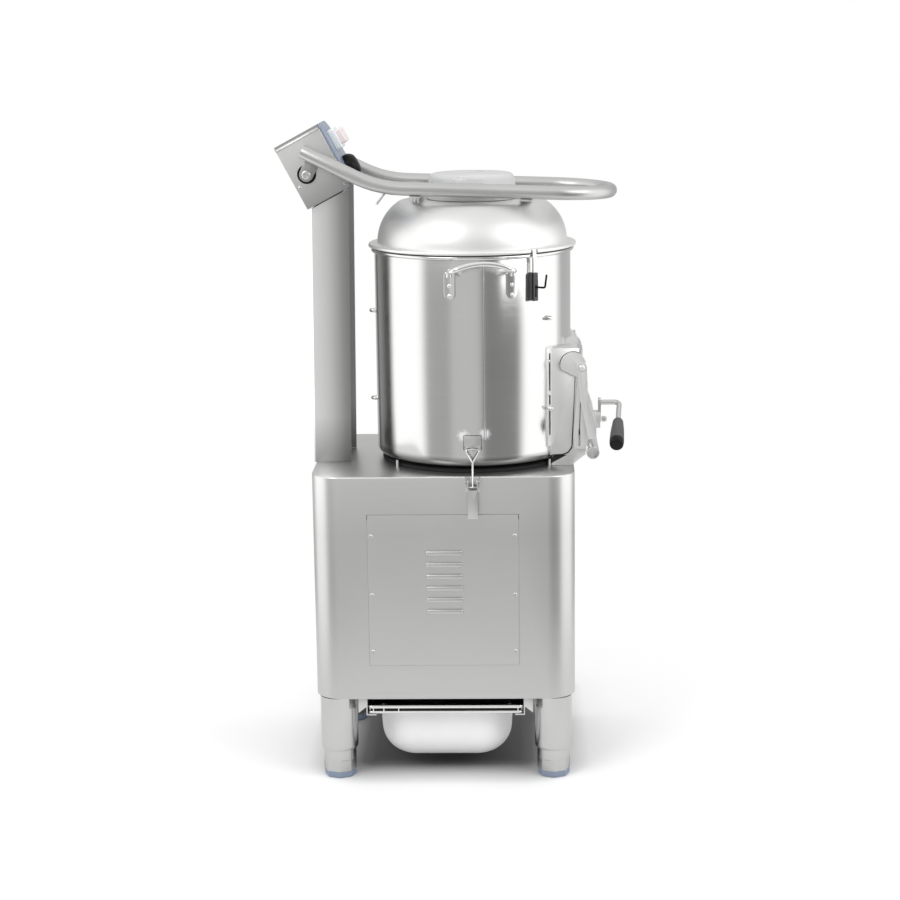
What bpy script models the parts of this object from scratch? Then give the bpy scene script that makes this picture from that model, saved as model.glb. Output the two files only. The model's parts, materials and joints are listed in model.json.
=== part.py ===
"""Floor-standing electric potato peeler, built piece by piece.

The machine stands on four adjustable feet.  A stainless cabinet holds the motor
and the belt drive, and carries a drum in which an abrasive disc spins.  A lid on
a bent tube lever is hinged on a tilted control head, and the peeled potatoes
leave through a side door that a crank clamps shut.

Axes: +X is the side with the discharge door, -Y is the side with the service
panel, +Z is up.  Lengths are metres.  Pieces are first made in the machine's own
frame, with the cabinet's centre at x = 0, and the whole is then moved so that the
origin lies under the middle of its overall box.
"""
import math

import bmesh
import bpy
from mathutils import Matrix, Vector

# Fits and sheet
GAP = 0.0003            # air between two pieces that touch
OVERRUN = 0.004         # how far a cutter runs past what it cuts
SHEET = 0.0015          # folded stainless sheet
PLATE = 0.003           # welded stainless plate

# Counts of sides for round pieces
SIDES_DRUM = 40
SIDES_LARGE = 24
SIDES_MEDIUM = 16
SIDES_SMALL = 8

# Cabinet
CABINET_WIDTH = 0.420
CABINET_DEPTH = 0.3565
CABINET_BOTTOM = 0.1385
CABINET_TOP = 0.5047
CABINET_CORNER = 0.045
CABINET_EDGE = 0.0025   # radius of the folded top edge
CORNER_STEPS = 4

# Legs and feet
LEG_INSET_X = 0.0353    # from the cabinet's side to a leg's axis
LEG_INSET_Y = 0.03595
LEG_X = CABINET_WIDTH / 2 - LEG_INSET_X
LEG_Y = CABINET_DEPTH / 2 - LEG_INSET_Y
SLEEVE_RADIUS = 0.0302
SLEEVE_BOTTOM = 0.0470
SLEEVE_TAPER = 0.0035
FOOT_RADIUS = 0.0266
FOOT_FACET_TOP = 0.0262
FOOT_BLEND = 0.006
FOOT_STEM = 0.050       # how far the foot reaches up inside its sleeve
PAD_HEIGHT = 0.0105
PAD_RADIUS = 0.0252
PAD_CHAMFER = 0.0018

# Service panel with pressed louvres
PANEL_LEFT = -0.1201
PANEL_RIGHT = 0.1193
PANEL_BOTTOM = 0.1955
PANEL_TOP = 0.4430
PANEL_LIP = 0.012       # how far the panel laps over its window
LOUVRE_COUNT = 6
LOUVRE_CENTRE_X = 0.0015
LOUVRE_LENGTH = 0.0585
LOUVRE_HEIGHT = 0.0080
LOUVRE_DEPTH = 0.0035
LOUVRE_TOP = 0.3810
LOUVRE_PITCH = 0.0192
LOUVRE_SLOT = 0.0020
SCREW_HEAD_RADIUS = 0.0030
SCREW_HEAD_HEIGHT = 0.0016
PANEL_SCREW_INSET = 0.0055
PANEL_SCREW_SHARES = (0.086, 0.5, 0.915)

# Filter drawer below the cabinet
FRAME_TO_LEG = 0.0195   # from the drawer's frame to a leg's sleeve
FRAME_INSET = 0.00725   # from the cabinet's front to the drawer's frame
FRAME_WIDTH = 2 * (LEG_X - SLEEVE_RADIUS - FRAME_TO_LEG)
FRAME_LENGTH = CABINET_DEPTH - 2 * FRAME_INSET
RAIL_EASE = 0.0012      # air between a rail and the frame's side
RAIL_INNER_X = FRAME_WIDTH / 2 + RAIL_EASE
RAIL_BOTTOM = 0.1087
RAIL_FLANGE = 0.0140
RAIL_WEB = 0.0020
RAIL_OVERHANG = 0.0010
RAIL_LENGTH = FRAME_LENGTH + 2 * RAIL_OVERHANG
RAIL_GUSSET = 0.0150
FRAME_HEIGHT = 0.0145
FRAME_WALL = 0.0030
FRAME_CORNER = 0.0060
FRAME_LEDGE = 0.0200
FRAME_BAR = 0.0046      # height of the upper and lower bar of the frame's side
FRAME_POST = 0.0040
FRAME_END_BAYS = 5
FRAME_SIDE_BAYS = 6
PAN_INSET_X = 0.0155     # from the frame's side to the pan's
PAN_INSET_Y = 0.0210
PAN_TOP_WIDTH = FRAME_WIDTH - 2 * PAN_INSET_X
PAN_TOP_LENGTH = FRAME_LENGTH - 2 * PAN_INSET_Y
PAN_DEPTH = 0.0895
PAN_WALL = 0.0030
PAN_CORNER = 0.0560
PAN_CORNER_STEPS = 4
PAN_DRAFT = 0.0055      # how far each side draws in before the rounded bottom
PAN_BOTTOM_RADIUS = 0.0460
PAN_ROUND_STEPS = 5

# Drum
DRUM_X = 0.0479
DRUM_RADIUS = 0.1592
DRUM_BOTTOM = 0.5134
DRUM_TOP = 0.8510
DRUM_SIDE_X = DRUM_X + DRUM_RADIUS    # the drum's wall on the door side
DRUM_BOTTOM_RADIUS = 0.0130
RIM_RADIUS = 0.0035
RIM_STEPS = 4
GASKET_INSET = 0.0077
GASKET_RADIUS = DRUM_RADIUS - GASKET_INSET
GASKET_WIDTH = 0.0200
LINER_TOP = 0.8050
LINER_THICKNESS = 0.0040
PEG_ANGLES = (52.0, 128.0, 232.0, 308.0)
PEG_RADIUS = 0.0025
PEG_INSET = 0.0037
PEG_CIRCLE = DRUM_RADIUS - PEG_INSET
DRUM_BOLT_HEIGHTS = (0.7460, 0.6008)
COLUMN_BOLT_ANGLE = 270.0    # round the drum from its front, on the column's side
NUT_RADIUS = 0.0042
NUT_HEIGHT = 0.0105
CHUTE_BOLT_HEIGHTS = (0.6760, 0.6230)

# Side handles
HANDLE_TURN = 5.7       # degrees round the drum from its front
HANDLE_HALF_SPAN = 0.0484
HANDLE_ROD = 0.0040
HANDLE_REACH = 0.0380
HANDLE_RISE = 0.0150
HANDLE_BEND = 0.0140
HANDLE_WELD = 0.0080     # how far the bow runs down each lug
LUG_WIDTH = 0.0180
LUG_TOP = 0.8260
LUG_HEIGHT = 0.0430
LUG_THICKNESS = 0.0025
RIVET_RADIUS = 0.0032
RIVET_HEIGHT = 0.0020
RIVET_HEIGHTS = (0.8045, 0.7888)

# Toggle latches between drum and cabinet
KEEPER_WIDTH = 0.0270
KEEPER_TOP = 0.5665
KEEPER_PLATE_BOTTOM = 0.5494
KEEPER_BOTTOM = 0.5430
KEEPER_HOOK_WIDTH = 0.0070
KEEPER_SHEET = 0.0020
KEEPER_THROAT = 0.0066    # from the bail's bar to the hook's lip
KEEPER_LIP = 0.0020
LATCH_WIDTH = 0.0160
LATCH_SHEET = 0.0012
LATCH_PIVOT_Z = 0.4985
LATCH_PIN_DROP = 0.0095
LATCH_PIN_RADIUS = 0.0016
LATCH_STAND_OFF = 0.0090
LATCH_LEVER_BOTTOM = 0.4395
LATCH_LEVER_DEPTH = 0.0065
LATCH_EAR_WIDTH = 0.0240
LATCH_EAR_HEIGHT = 0.0115
LATCH_BASE_BOTTOM = 0.4800
BAIL_WIRE = 0.0013
BAIL_HALF_WIDTH = 0.0120
BAIL_APEX_Z = 0.5262
BAIL_LEAN = 0.0242      # how far the bail may lean back from the lever's pins

# Lid latch bolt
LID_BOLT_TURN = 36.3
BOLT_HOUSING_WIDTH = 0.0120
BOLT_HOUSING_DEPTH = 0.0095
BOLT_HOUSING_TOP = 0.8215
BOLT_HOUSING_BOTTOM = 0.7760
BOLT_WIDTH = 0.0070
BOLT_THICKNESS = 0.0025
BOLT_THROW = 0.0120
BOLT_TAB_REACH = 0.0120
BOLT_TAB_Z = 0.7985
BOLT_TAB_HEIGHT = 0.0220
NOTCH_WIDTH = 0.0125
NOTCH_EASE = 0.0028     # room for the lid's swing past the tongue

# Lid
LID_FLANGE_REACH = 0.0093    # how far the lid's flange stands out past the drum
LID_FLANGE_RADIUS = DRUM_RADIUS + LID_FLANGE_REACH
LID_FLANGE_BOTTOM = 0.8516
LID_FLANGE_HEIGHT = 0.0060
LID_WALL = 0.0016
DOME_BASE_INSET = 0.0052
DOME_BASE_RADIUS = DRUM_RADIUS - DOME_BASE_INSET
DOME_BASE_Z = 0.8585
DOME_SHOULDER_INSET = 0.0402
DOME_SHOULDER_RADIUS = DRUM_RADIUS - DOME_SHOULDER_INSET
DOME_SHOULDER_Z = 0.9235
DOME_TOP_Z = 0.9275
DOME_STEPS = 5
FILLER_RADIUS = 0.0600
FILLER_COLLAR = 0.0070
COVER_BASE_RADIUS = 0.0735
COVER_TOP_RADIUS = 0.0675
COVER_WALL = 0.0028
COVER_TOP_Z = 0.9695
COVER_CROWN = 0.0025

# Control column
COLUMN_LEFT = -0.2125
COLUMN_RIGHT = -0.1520
COLUMN_HALF_DEPTH = 0.0587
COLUMN_WALL = 0.0020
COLUMN_BEND = 0.0080
COLUMN_COVER_RECESS = 0.0100

# Control head: a rounded box, tilted towards the front
HEAD_X = -0.2026
HEAD_Z = 0.9848
HEAD_TILT = 28.0
HEAD_DEPTH = 0.0790
HEAD_WIDTH = 0.1500
HEAD_LENGTH = 0.1100
HEAD_CORNER = 0.0160
FRONT_PANEL = 0.0030
SWITCH_WIDTH = 0.0560
SWITCH_LENGTH = 0.0350
SWITCH_CENTRE = 0.0205
SWITCH_BASE = 0.0110
SWITCH_CORNER = 0.0040
BUTTON_WIDTH = 0.0225
BUTTON_LENGTH = 0.0250
BUTTON_HEIGHT = 0.0100
BUTTON_TRAVEL = 0.0030
BUTTON_EDGE = 0.0030
KNOB_CENTRE = -0.0290
KNOB_RADIUS = 0.0205
KNOB_TOP_RADIUS = 0.0140
KNOB_HEIGHT = 0.0180
KNOB_RIDGE = 0.0035
TIMER_STEM = 0.0035

# Lid lever
PIVOT_X = -0.2116
PIVOT_Z = 0.9736
TUBE_RADIUS = 0.0110
LIMB_HALF_SPACING = 0.0947
LIMB_END_X = -0.2176
LIMB_END_Z = 1.0116
LIMB_SLOPE = 26.5       # degrees down towards the bend
LOOP_SLOPE = 2.2
LIMB_KNEE_X = -0.0993
LIMB_KNEE_RADIUS = 0.1800
LOOP_REACH = 0.0755      # how far the loop stands out past the drum
LOOP_END_X = DRUM_SIDE_X + LOOP_REACH
RECESS_RADIUS = 0.0152
LEVER_LUG_THICKNESS = 0.0042
LEVER_LUG_RADIUS = 0.0112
SHAFT_RADIUS = 0.0055
BOLT_HEAD_RADIUS = 0.0062
BOLT_HEAD_HEIGHT = 0.0030
CROSS_BAR_OFFSET = 0.0879
CROSS_BAR_X = (DRUM_X - CROSS_BAR_OFFSET, DRUM_X + CROSS_BAR_OFFSET)
CROSS_BAR_WIDTH = 0.0180
CROSS_BAR_THICKNESS = 0.0030
LID_BOLT_Y = 0.0480
LID_STUD_RADIUS = 0.0056
ROD_RADIUS = 0.0017
ROD_LENGTH = 0.0240
ROD_LEAN = 52.0
ROD_X = -0.0857

# Discharge chute, door and crank. A reach is measured outwards from the drum's side.
CHUTE_HALF_WIDTH = 0.1000
CHUTE_BOTTOM = 0.5225
CHUTE_TOP = 0.6960
CHUTE_MOUTH_TOP_REACH = 0.0114
CHUTE_MOUTH_TOP_X = DRUM_SIDE_X + CHUTE_MOUTH_TOP_REACH
CHUTE_MOUTH_BOTTOM_REACH = -0.0001
CHUTE_MOUTH_BOTTOM_X = DRUM_SIDE_X + CHUTE_MOUTH_BOTTOM_REACH
CHUTE_CORNER = 0.0160
CHUTE_WALL = 0.0025
CHUTE_RIDGE_REACH = 0.0009
CHUTE_RIDGE_X = DRUM_SIDE_X + CHUTE_RIDGE_REACH
CHUTE_RIDGE_Z = 0.7060
CHUTE_RIDGE_HALF = 0.0550
FLANGE_BAND = 0.0085
FLANGE_THICKNESS = 0.0025
BAND_BOLT_REACH = 0.0055     # from the chute's cheek out to the band's bolts
BRACKET_THICKNESS = 0.0025
BRACKET_LUG_REACH = 0.0013
BRACKET_LUG_X = DRUM_SIDE_X + BRACKET_LUG_REACH
BRACKET_LUG_Z = 0.6695
BRACKET_LUG_RADIUS = 0.0205
BRACKET_RIGHT_REACH = 0.0220
BRACKET_RIGHT = DRUM_SIDE_X + BRACKET_RIGHT_REACH
BRACKET_BOTTOM = 0.5330
DOOR_PIVOT_REACH = 0.0151
DOOR_PIVOT_X = DRUM_SIDE_X + DOOR_PIVOT_REACH
DOOR_PIVOT_Z = 0.6651
HINGE_BOLT_RADIUS = 0.0040
YOKE_THICKNESS = 0.0025
YOKE_LUG_RADIUS = 0.0085
YOKE_WIDTH = 0.0125
YOKE_REACH = 0.1031      # from the hinge down to the yoke's bar
YOKE_ELBOW = 0.0550      # from the bar up to the arms' elbows
YOKE_BAR_REACH = 0.0369
YOKE_BAR_X = DRUM_SIDE_X + YOKE_BAR_REACH
YOKE_BAR_Z = DOOR_PIVOT_Z - YOKE_REACH
YOKE_ELBOW_Z = YOKE_BAR_Z + YOKE_ELBOW
YOKE_BAR_HEIGHT = 0.0260
SPOUT_FLOOR_Z = 0.5280
SPOUT_LIP_REACH = 0.0214
SPOUT_LIP_X = DRUM_SIDE_X + SPOUT_LIP_REACH
SPOUT_LEFT_REACH = -0.0291
SPOUT_LEFT_X = DRUM_SIDE_X + SPOUT_LEFT_REACH
SPOUT_BASE_LEFT_REACH = -0.0423
SPOUT_BASE_LEFT_X = DRUM_SIDE_X + SPOUT_BASE_LEFT_REACH
SPOUT_BASE_RIGHT_REACH = -0.0011
SPOUT_BASE_RIGHT_X = DRUM_SIDE_X + SPOUT_BASE_RIGHT_REACH
DOOR_REACH = 0.0225
DOOR_X = DRUM_SIDE_X + DOOR_REACH
DOOR_ABOVE_BAR = 0.0880
DOOR_BELOW_BAR = 0.0380
DOOR_TOP = YOKE_BAR_Z + DOOR_ABOVE_BAR
DOOR_BOTTOM = YOKE_BAR_Z - DOOR_BELOW_BAR
DOOR_HALF_WIDTH = 0.0940
DOOR_CORNER = 0.0140
DOOR_CURL_RADIUS = 0.0105
DISH_RADIUS = 0.0480
DISH_DEPTH = 0.0090
BLOCK_LENGTH = 0.0240
BLOCK_DEPTH = 0.0120
SPINDLE_SCREW_RADIUS = 0.0045
CRANK_ARM = 0.0250
CRANK_ARM_WIDTH = 0.0100
CRANK_ARM_THICKNESS = 0.0045
CRANK_ROD = 0.0042
CRANK_ELBOW_REACH = 0.0804
CRANK_ELBOW_X = DRUM_SIDE_X + CRANK_ELBOW_REACH
CRANK_BEND = 0.0080
CRANK_DROP = 22.0       # degrees below level, towards the panel side
CRANK_SWING = 5.0       # degrees back towards the drum
CRANK_ROD_LENGTH = 0.0560
GRIP_LENGTH = 0.0740
GRIP_ROOT_RADIUS = 0.0085
GRIP_END_RADIUS = 0.0118

# Drive
DISC_CLEARANCE = 0.0122
DISC_RADIUS = DRUM_RADIUS - DISC_CLEARANCE
DISC_ABOVE_FLOOR = 0.0206
DISC_BOTTOM = DRUM_BOTTOM + DISC_ABOVE_FLOOR
DISC_THICKNESS = 0.0120
DISC_RIB_HEIGHT = 0.0080
DISC_RIB_WIDTH = 0.0260
SPINDLE_RADIUS = 0.0125
SPINDLE_BOTTOM = 0.3850
HOUSING_RADIUS = 0.0300
HOUSING_FLANGE_RADIUS = 0.0480
HOUSING_BOTTOM = 0.4320
DRIVEN_PULLEY_RADIUS = 0.0700
MOTOR_PULLEY_RADIUS = 0.0260
PULLEY_THICKNESS = 0.0180
PULLEY_Z = 0.4000
GROOVE_DEPTH = 0.0080
BELT_WIDTH = 0.0100
BELT_THICKNESS = 0.0060
MOTOR_X = -0.0800
MOTOR_RADIUS = 0.0600
MOTOR_BOTTOM = 0.1900
MOTOR_TOP = 0.3700
MOTOR_SHAFT_RADIUS = 0.0090
MOTOR_RIBS = 12
MOTOR_PLATE_HALF_DEPTH = 0.0950
MOTOR_PLATE_REACH = 0.0760
STUD_RADIUS = 0.0050
WASTE_INSET = 0.0412
WASTE_Y = DRUM_RADIUS - WASTE_INSET
WASTE_RADIUS = 0.0200
WASTE_WALL = 0.0025


# Helpers

def radians_of(angle):
    """An angle in degrees, as radians."""
    return math.radians(angle)


def circle(radius, z, centre=(0.0, 0.0), sides=SIDES_MEDIUM):
    """The points of a level circle."""
    turn = 2 * math.pi / sides
    return [Vector((centre[0] + radius * math.cos(i * turn),
                    centre[1] + radius * math.sin(i * turn), z)) for i in range(sides)]


def arc(centre, radius, start, end, steps):
    """Points on an arc in a plane, from one angle to another in degrees."""
    return [(centre[0] + radius * math.cos(radians_of(start + (end - start) * i / steps)),
             centre[1] + radius * math.sin(radians_of(start + (end - start) * i / steps)))
            for i in range(steps + 1)]


def rounded_rectangle(width, depth, radius, steps=CORNER_STEPS):
    """The outline of a rectangle with round corners, anticlockwise, round the origin."""
    x, y = width / 2 - radius, depth / 2 - radius
    points = []
    for centre, start in (((x, y), 0), ((-x, y), 90), ((-x, -y), 180), ((x, -y), 270)):
        points += arc(centre, radius, start, start + 90, steps)
    return points


def level(points, z, centre=(0.0, 0.0)):
    """An outline laid level at a height."""
    return [Vector((centre[0] + p[0], centre[1] + p[1], z)) for p in points]


def loft(loops, ring=False):
    """A closed solid through loops of equal length: capped, or joined end to start."""
    mesh = bmesh.new()
    rows = [[mesh.verts.new(point) for point in loop] for loop in loops]
    pairs = list(zip(rows, rows[1:]))
    if ring:
        pairs.append((rows[-1], rows[0]))
    for low, high in pairs:
        count = len(low)
        for i in range(count):
            j = (i + 1) % count
            mesh.faces.new((low[i], low[j], high[j], high[i]))
    if not ring:
        mesh.faces.new(list(reversed(rows[0])))
        mesh.faces.new(rows[-1])
    bmesh.ops.recalc_face_normals(mesh, faces=mesh.faces)
    return mesh


def turned(profile, centre=(0.0, 0.0), sides=SIDES_MEDIUM, ring=False):
    """A solid turned about a vertical axis from (radius, height) points."""
    return loft([circle(radius, z, centre, sides) for radius, z in profile], ring)


def prism(points, low, high):
    """An outline in the XY plane, raised between two heights."""
    return loft([level(points, low), level(points, high)])


def block(low, high):
    """A box between two corners."""
    mesh = bmesh.new()
    bmesh.ops.create_cube(mesh, size=1)
    for vert in mesh.verts:
        vert.co = Vector([high[i] if vert.co[i] > 0 else low[i] for i in range(3)])
    return mesh


def rod(start, end, radius, sides=SIDES_SMALL):
    """A round bar between two points."""
    start, end = Vector(start), Vector(end)
    axis = end - start
    mesh = turned([(radius, 0), (radius, axis.length)], sides=sides)
    turn = Vector((0, 0, 1)).rotation_difference(axis.normalized()).to_matrix().to_4x4()
    mesh.transform(Matrix.Translation(start) @ turn)
    return mesh


def upright(points, low, high):
    """An outline given in the XZ plane, given thickness along Y."""
    mesh = prism([(x, z) for x, z in points], -high, -low)
    mesh.transform(Matrix.Rotation(radians_of(90), 4, "X"))
    return mesh


def gathered(*meshes):
    """Several closed solids in one mesh."""
    whole = bmesh.new()
    for mesh in meshes:
        scrap = bpy.data.meshes.new("scrap")
        mesh.to_mesh(scrap)
        mesh.free()
        whole.from_mesh(scrap)
        bpy.data.meshes.remove(scrap)
    return whole


def moved(mesh, matrix):
    """The same solid, carried by a matrix."""
    mesh.transform(matrix)
    if matrix.determinant() < 0:
        bmesh.ops.reverse_faces(mesh, faces=mesh.faces)
    return mesh


def to_object(mesh, name):
    """A linked object that holds a bmesh."""
    data = bpy.data.meshes.new(name)
    mesh.to_mesh(data)
    mesh.free()
    thing = bpy.data.objects.new(name, data)
    bpy.context.scene.collection.objects.link(thing)
    return thing


def carved(mesh, *tools, operation="DIFFERENCE"):
    """A solid after a Boolean with each tool in turn."""
    body = to_object(mesh, "carved_body")
    cutters = [to_object(tool, "carving_tool") for tool in tools]
    for cutter in cutters:
        step = body.modifiers.new("carve", "BOOLEAN")
        step.operation = operation
        step.object = cutter
    found = body.evaluated_get(bpy.context.evaluated_depsgraph_get())
    result = bmesh.new()
    result.from_mesh(found.to_mesh())
    found.to_mesh_clear()
    for thing in [body] + cutters:
        data = thing.data
        bpy.data.objects.remove(thing)
        bpy.data.meshes.remove(data)
    bmesh.ops.remove_doubles(result, verts=result.verts, dist=GAP / 30)
    bmesh.ops.dissolve_degenerate(result, edges=result.edges, dist=GAP / 30)
    return result


def joined(first, *others):
    """One solid made of several that overlap."""
    return carved(first, *others, operation="UNION")


def path_points(corners, bends, steps=6):
    """A route through corners, with each inner corner rounded to its bend radius."""
    corners = [Vector(c) for c in corners]
    points = [corners[0]]
    for i in range(1, len(corners) - 1):
        back = (corners[i - 1] - corners[i]).normalized()
        ahead = (corners[i + 1] - corners[i]).normalized()
        half = back.angle(ahead) / 2
        run = bends[i - 1] / math.tan(half)
        middle = corners[i] + (back + ahead).normalized() * (bends[i - 1] / math.sin(half))
        spoke = corners[i] + back * run - middle
        axis = (-back).cross(ahead).normalized()
        for k in range(steps + 1):
            turn = Matrix.Rotation((math.pi - 2 * half) * k / steps, 3, axis)
            points.append(middle + turn @ spoke)
    points.append(corners[-1])
    return points


# Bodies and their origins

MATERIALS = {}
BODIES = {}
ORIGINS = {}
FINISHES = {
    "brushed": ((0.60, 0.61, 0.62), 0.34, 1.0),
    "polished": ((0.72, 0.73, 0.74), 0.16, 1.0),
    "satin": ((0.56, 0.57, 0.58), 0.42, 1.0),
    "rubber": ((0.02, 0.02, 0.02), 0.70, 0.0),
    "black_plastic": ((0.015, 0.015, 0.015), 0.35, 0.0),
    "white_plastic": ((0.86, 0.86, 0.85), 0.40, 0.0),
    "clear_plastic": ((0.86, 0.88, 0.88), 0.12, 0.0),
    "panel_film": ((0.30, 0.36, 0.46), 0.35, 0.0),
    "red_button": ((0.75, 0.28, 0.30), 0.35, 0.0),
    "green_button": ((0.30, 0.58, 0.38), 0.35, 0.0),
    "abrasive": ((0.10, 0.09, 0.085), 0.95, 0.0),
    "painted_motor": ((0.16, 0.20, 0.26), 0.45, 0.0),
    "cast_metal": ((0.42, 0.43, 0.44), 0.55, 1.0),
}


def material(name):
    """The Principled material of one finish, made once."""
    if name not in MATERIALS:
        colour, roughness, metallic = FINISHES[name]
        made = bpy.data.materials.new(name)
        made.use_nodes = True
        shader = made.node_tree.nodes["Principled BSDF"]
        shader.inputs["Base Color"].default_value = (*colour, 1)
        shader.inputs["Roughness"].default_value = roughness
        shader.inputs["Metallic"].default_value = metallic
        MATERIALS[name] = made
    return MATERIALS[name]


def body(name, origin=(0.0, 0.0, 0.0), parent=None):
    """An empty on the axis of a moving group, or under the whole machine."""
    empty = bpy.data.objects.new(f"{name}_axis", None)
    bpy.context.scene.collection.objects.link(empty)
    base = ORIGINS[parent] if parent else Vector((0, 0, 0))
    empty.location = Vector(origin) - base
    if parent:
        empty.parent = BODIES[parent]
    BODIES[name] = empty
    ORIGINS[name] = Vector(origin)


def piece(name, mesh, owner, finish, smooth=35.0):
    """A finished sub-part on its body, with its material and its shading."""
    mesh.transform(Matrix.Translation(-ORIGINS[owner]))
    thing = to_object(mesh, name)
    thing.parent = BODIES[owner]
    thing.data.materials.append(material(finish))
    thing.data.shade_smooth()
    thing.data.set_sharp_from_angle(angle=radians_of(smooth))
    return thing


def round_drum(degrees):
    """The frame of a piece on the drum: modelled at the front, turned about the axis."""
    return Matrix.Translation((DRUM_X, 0, 0)) @ Matrix.Rotation(radians_of(degrees), 4, "Z")


# Legs and feet

def leg_places():
    return [(sx * LEG_X, sy * LEG_Y) for sx in (-1, 1) for sy in (-1, 1)]


def make_legs():
    """A screw foot on a pad in each of the base's four sleeves."""
    for number, centre in enumerate(leg_places(), start=1):
        name = f"foot_{number}"
        body(name, (*centre, 0.0), "cabinet")
        piece(name, foot_body(centre), name, "brushed")


def foot_body(centre):
    """A pad, and above it a round foot whose lower part has eight flats for a spanner."""
    flats = 8
    step = 2 * math.pi / flats

    def octagon(z):
        points = []
        for i in range(SIDES_MEDIUM):
            angle = i * 2 * math.pi / SIDES_MEDIUM
            off = (angle + step / 2) % step - step / 2
            radius = FOOT_RADIUS * math.cos(step / 2) / math.cos(step / 2 - abs(off))
            points.append(Vector((centre[0] + radius * math.cos(angle),
                                  centre[1] + radius * math.sin(angle), z)))
        return points

    stem_top = SLEEVE_BOTTOM + FOOT_STEM
    return loft([circle(PAD_RADIUS - PAD_CHAMFER, 0, centre), circle(PAD_RADIUS, PAD_CHAMFER, centre),
                 circle(PAD_RADIUS, PAD_HEIGHT, centre), octagon(PAD_HEIGHT + PAD_CHAMFER),
                 octagon(FOOT_FACET_TOP), circle(FOOT_RADIUS, FOOT_FACET_TOP + FOOT_BLEND, centre),
                 circle(FOOT_RADIUS, stem_top, centre)])


def leg_sleeve(centre):
    """A welded tube below the base, with a narrower neck that enters the base plate."""
    bore = FOOT_RADIUS + GAP
    neck = SLEEVE_RADIUS - SHEET
    top = CABINET_BOTTOM - GAP
    return turned([(bore, SLEEVE_BOTTOM), (SLEEVE_RADIUS - SLEEVE_TAPER / 2, SLEEVE_BOTTOM),
                   (SLEEVE_RADIUS, SLEEVE_BOTTOM + SLEEVE_TAPER), (SLEEVE_RADIUS, top),
                   (neck, top), (neck, CABINET_BOTTOM + PLATE / 2),
                   (bore, CABINET_BOTTOM + PLATE / 2)], centre, ring=True)


# Cabinet

def cabinet_loop(inset, z):
    outline = rounded_rectangle(CABINET_WIDTH - 2 * inset, CABINET_DEPTH - 2 * inset,
                                CABINET_CORNER - inset)
    return level(outline, z)


def make_cabinet():
    """A folded shell with a window and locating pegs, on a base plate with leg sleeves."""
    soft = CABINET_EDGE * (1 - math.sqrt(0.5))
    shell = loft([cabinet_loop(CABINET_EDGE, CABINET_TOP), cabinet_loop(soft, CABINET_TOP - soft),
                  cabinet_loop(0, CABINET_TOP - CABINET_EDGE),
                  cabinet_loop(0, CABINET_BOTTOM), cabinet_loop(SHEET, CABINET_BOTTOM),
                  cabinet_loop(SHEET, CABINET_TOP - CABINET_EDGE),
                  cabinet_loop(CABINET_EDGE, CABINET_TOP - SHEET)])
    pegs = []
    for angle in PEG_ANGLES:
        peg = turned([(PEG_RADIUS, CABINET_TOP - SHEET / 2),
                      (PEG_RADIUS, DRUM_BOTTOM + DRUM_BOTTOM_RADIUS * 0.15)],
                     (0, -PEG_CIRCLE), SIDES_SMALL)
        pegs.append(moved(peg, round_drum(angle)))
    shell = joined(shell, *pegs)
    window = block((PANEL_LEFT + PANEL_LIP, -CABINET_DEPTH / 2 - OVERRUN,
                    PANEL_BOTTOM + PANEL_LIP),
                   (PANEL_RIGHT - PANEL_LIP, -CABINET_DEPTH / 2 + OVERRUN,
                    PANEL_TOP - PANEL_LIP))
    over = CABINET_TOP + OVERRUN
    under = CABINET_TOP - OVERRUN
    spindle_hole = turned([(HOUSING_RADIUS + GAP, under), (HOUSING_RADIUS + GAP, over)],
                          (DRUM_X, 0), SIDES_LARGE)
    waste_hole = turned([(WASTE_RADIUS + GAP, under), (WASTE_RADIUS + GAP, over)],
                        (DRUM_X, WASTE_Y))
    shell = carved(shell, window, spindle_hole, waste_hole)
    piece("cabinet_shell", shell, "cabinet", "brushed")

    inset = SHEET + GAP
    floor = loft([cabinet_loop(inset, CABINET_BOTTOM),
                  cabinet_loop(inset, CABINET_BOTTOM + PLATE)])
    base = joined(floor, *[leg_sleeve(centre) for centre in leg_places()])
    outlet = turned([(WASTE_RADIUS + GAP, CABINET_BOTTOM - OVERRUN),
                     (WASTE_RADIUS + GAP, CABINET_BOTTOM + PLATE + OVERRUN)],
                    (DRUM_X, WASTE_Y))
    piece("base_with_sleeves", carved(base, outlet), "cabinet", "brushed")


def louvre_tool(z, grow, back):
    """The bulge of one louvre: a long rounded hood standing out of the panel."""
    length = LOUVRE_LENGTH + 2 * grow
    height = LOUVRE_HEIGHT + 2 * grow
    outline = rounded_rectangle(length, height, height / 2 - GAP, 1)
    small = rounded_rectangle(length - LOUVRE_HEIGHT, height - LOUVRE_HEIGHT / 2,
                              height / 2 - LOUVRE_HEIGHT / 4 - GAP, 1)
    face = -CABINET_DEPTH / 2 - GAP - SHEET
    hood = loft([[Vector((LOUVRE_CENTRE_X + x, face + back, z + y)) for x, y in outline],
                 [Vector((LOUVRE_CENTRE_X + x, face - LOUVRE_DEPTH - grow, z + y))
                  for x, y in small]])
    return hood


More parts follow.
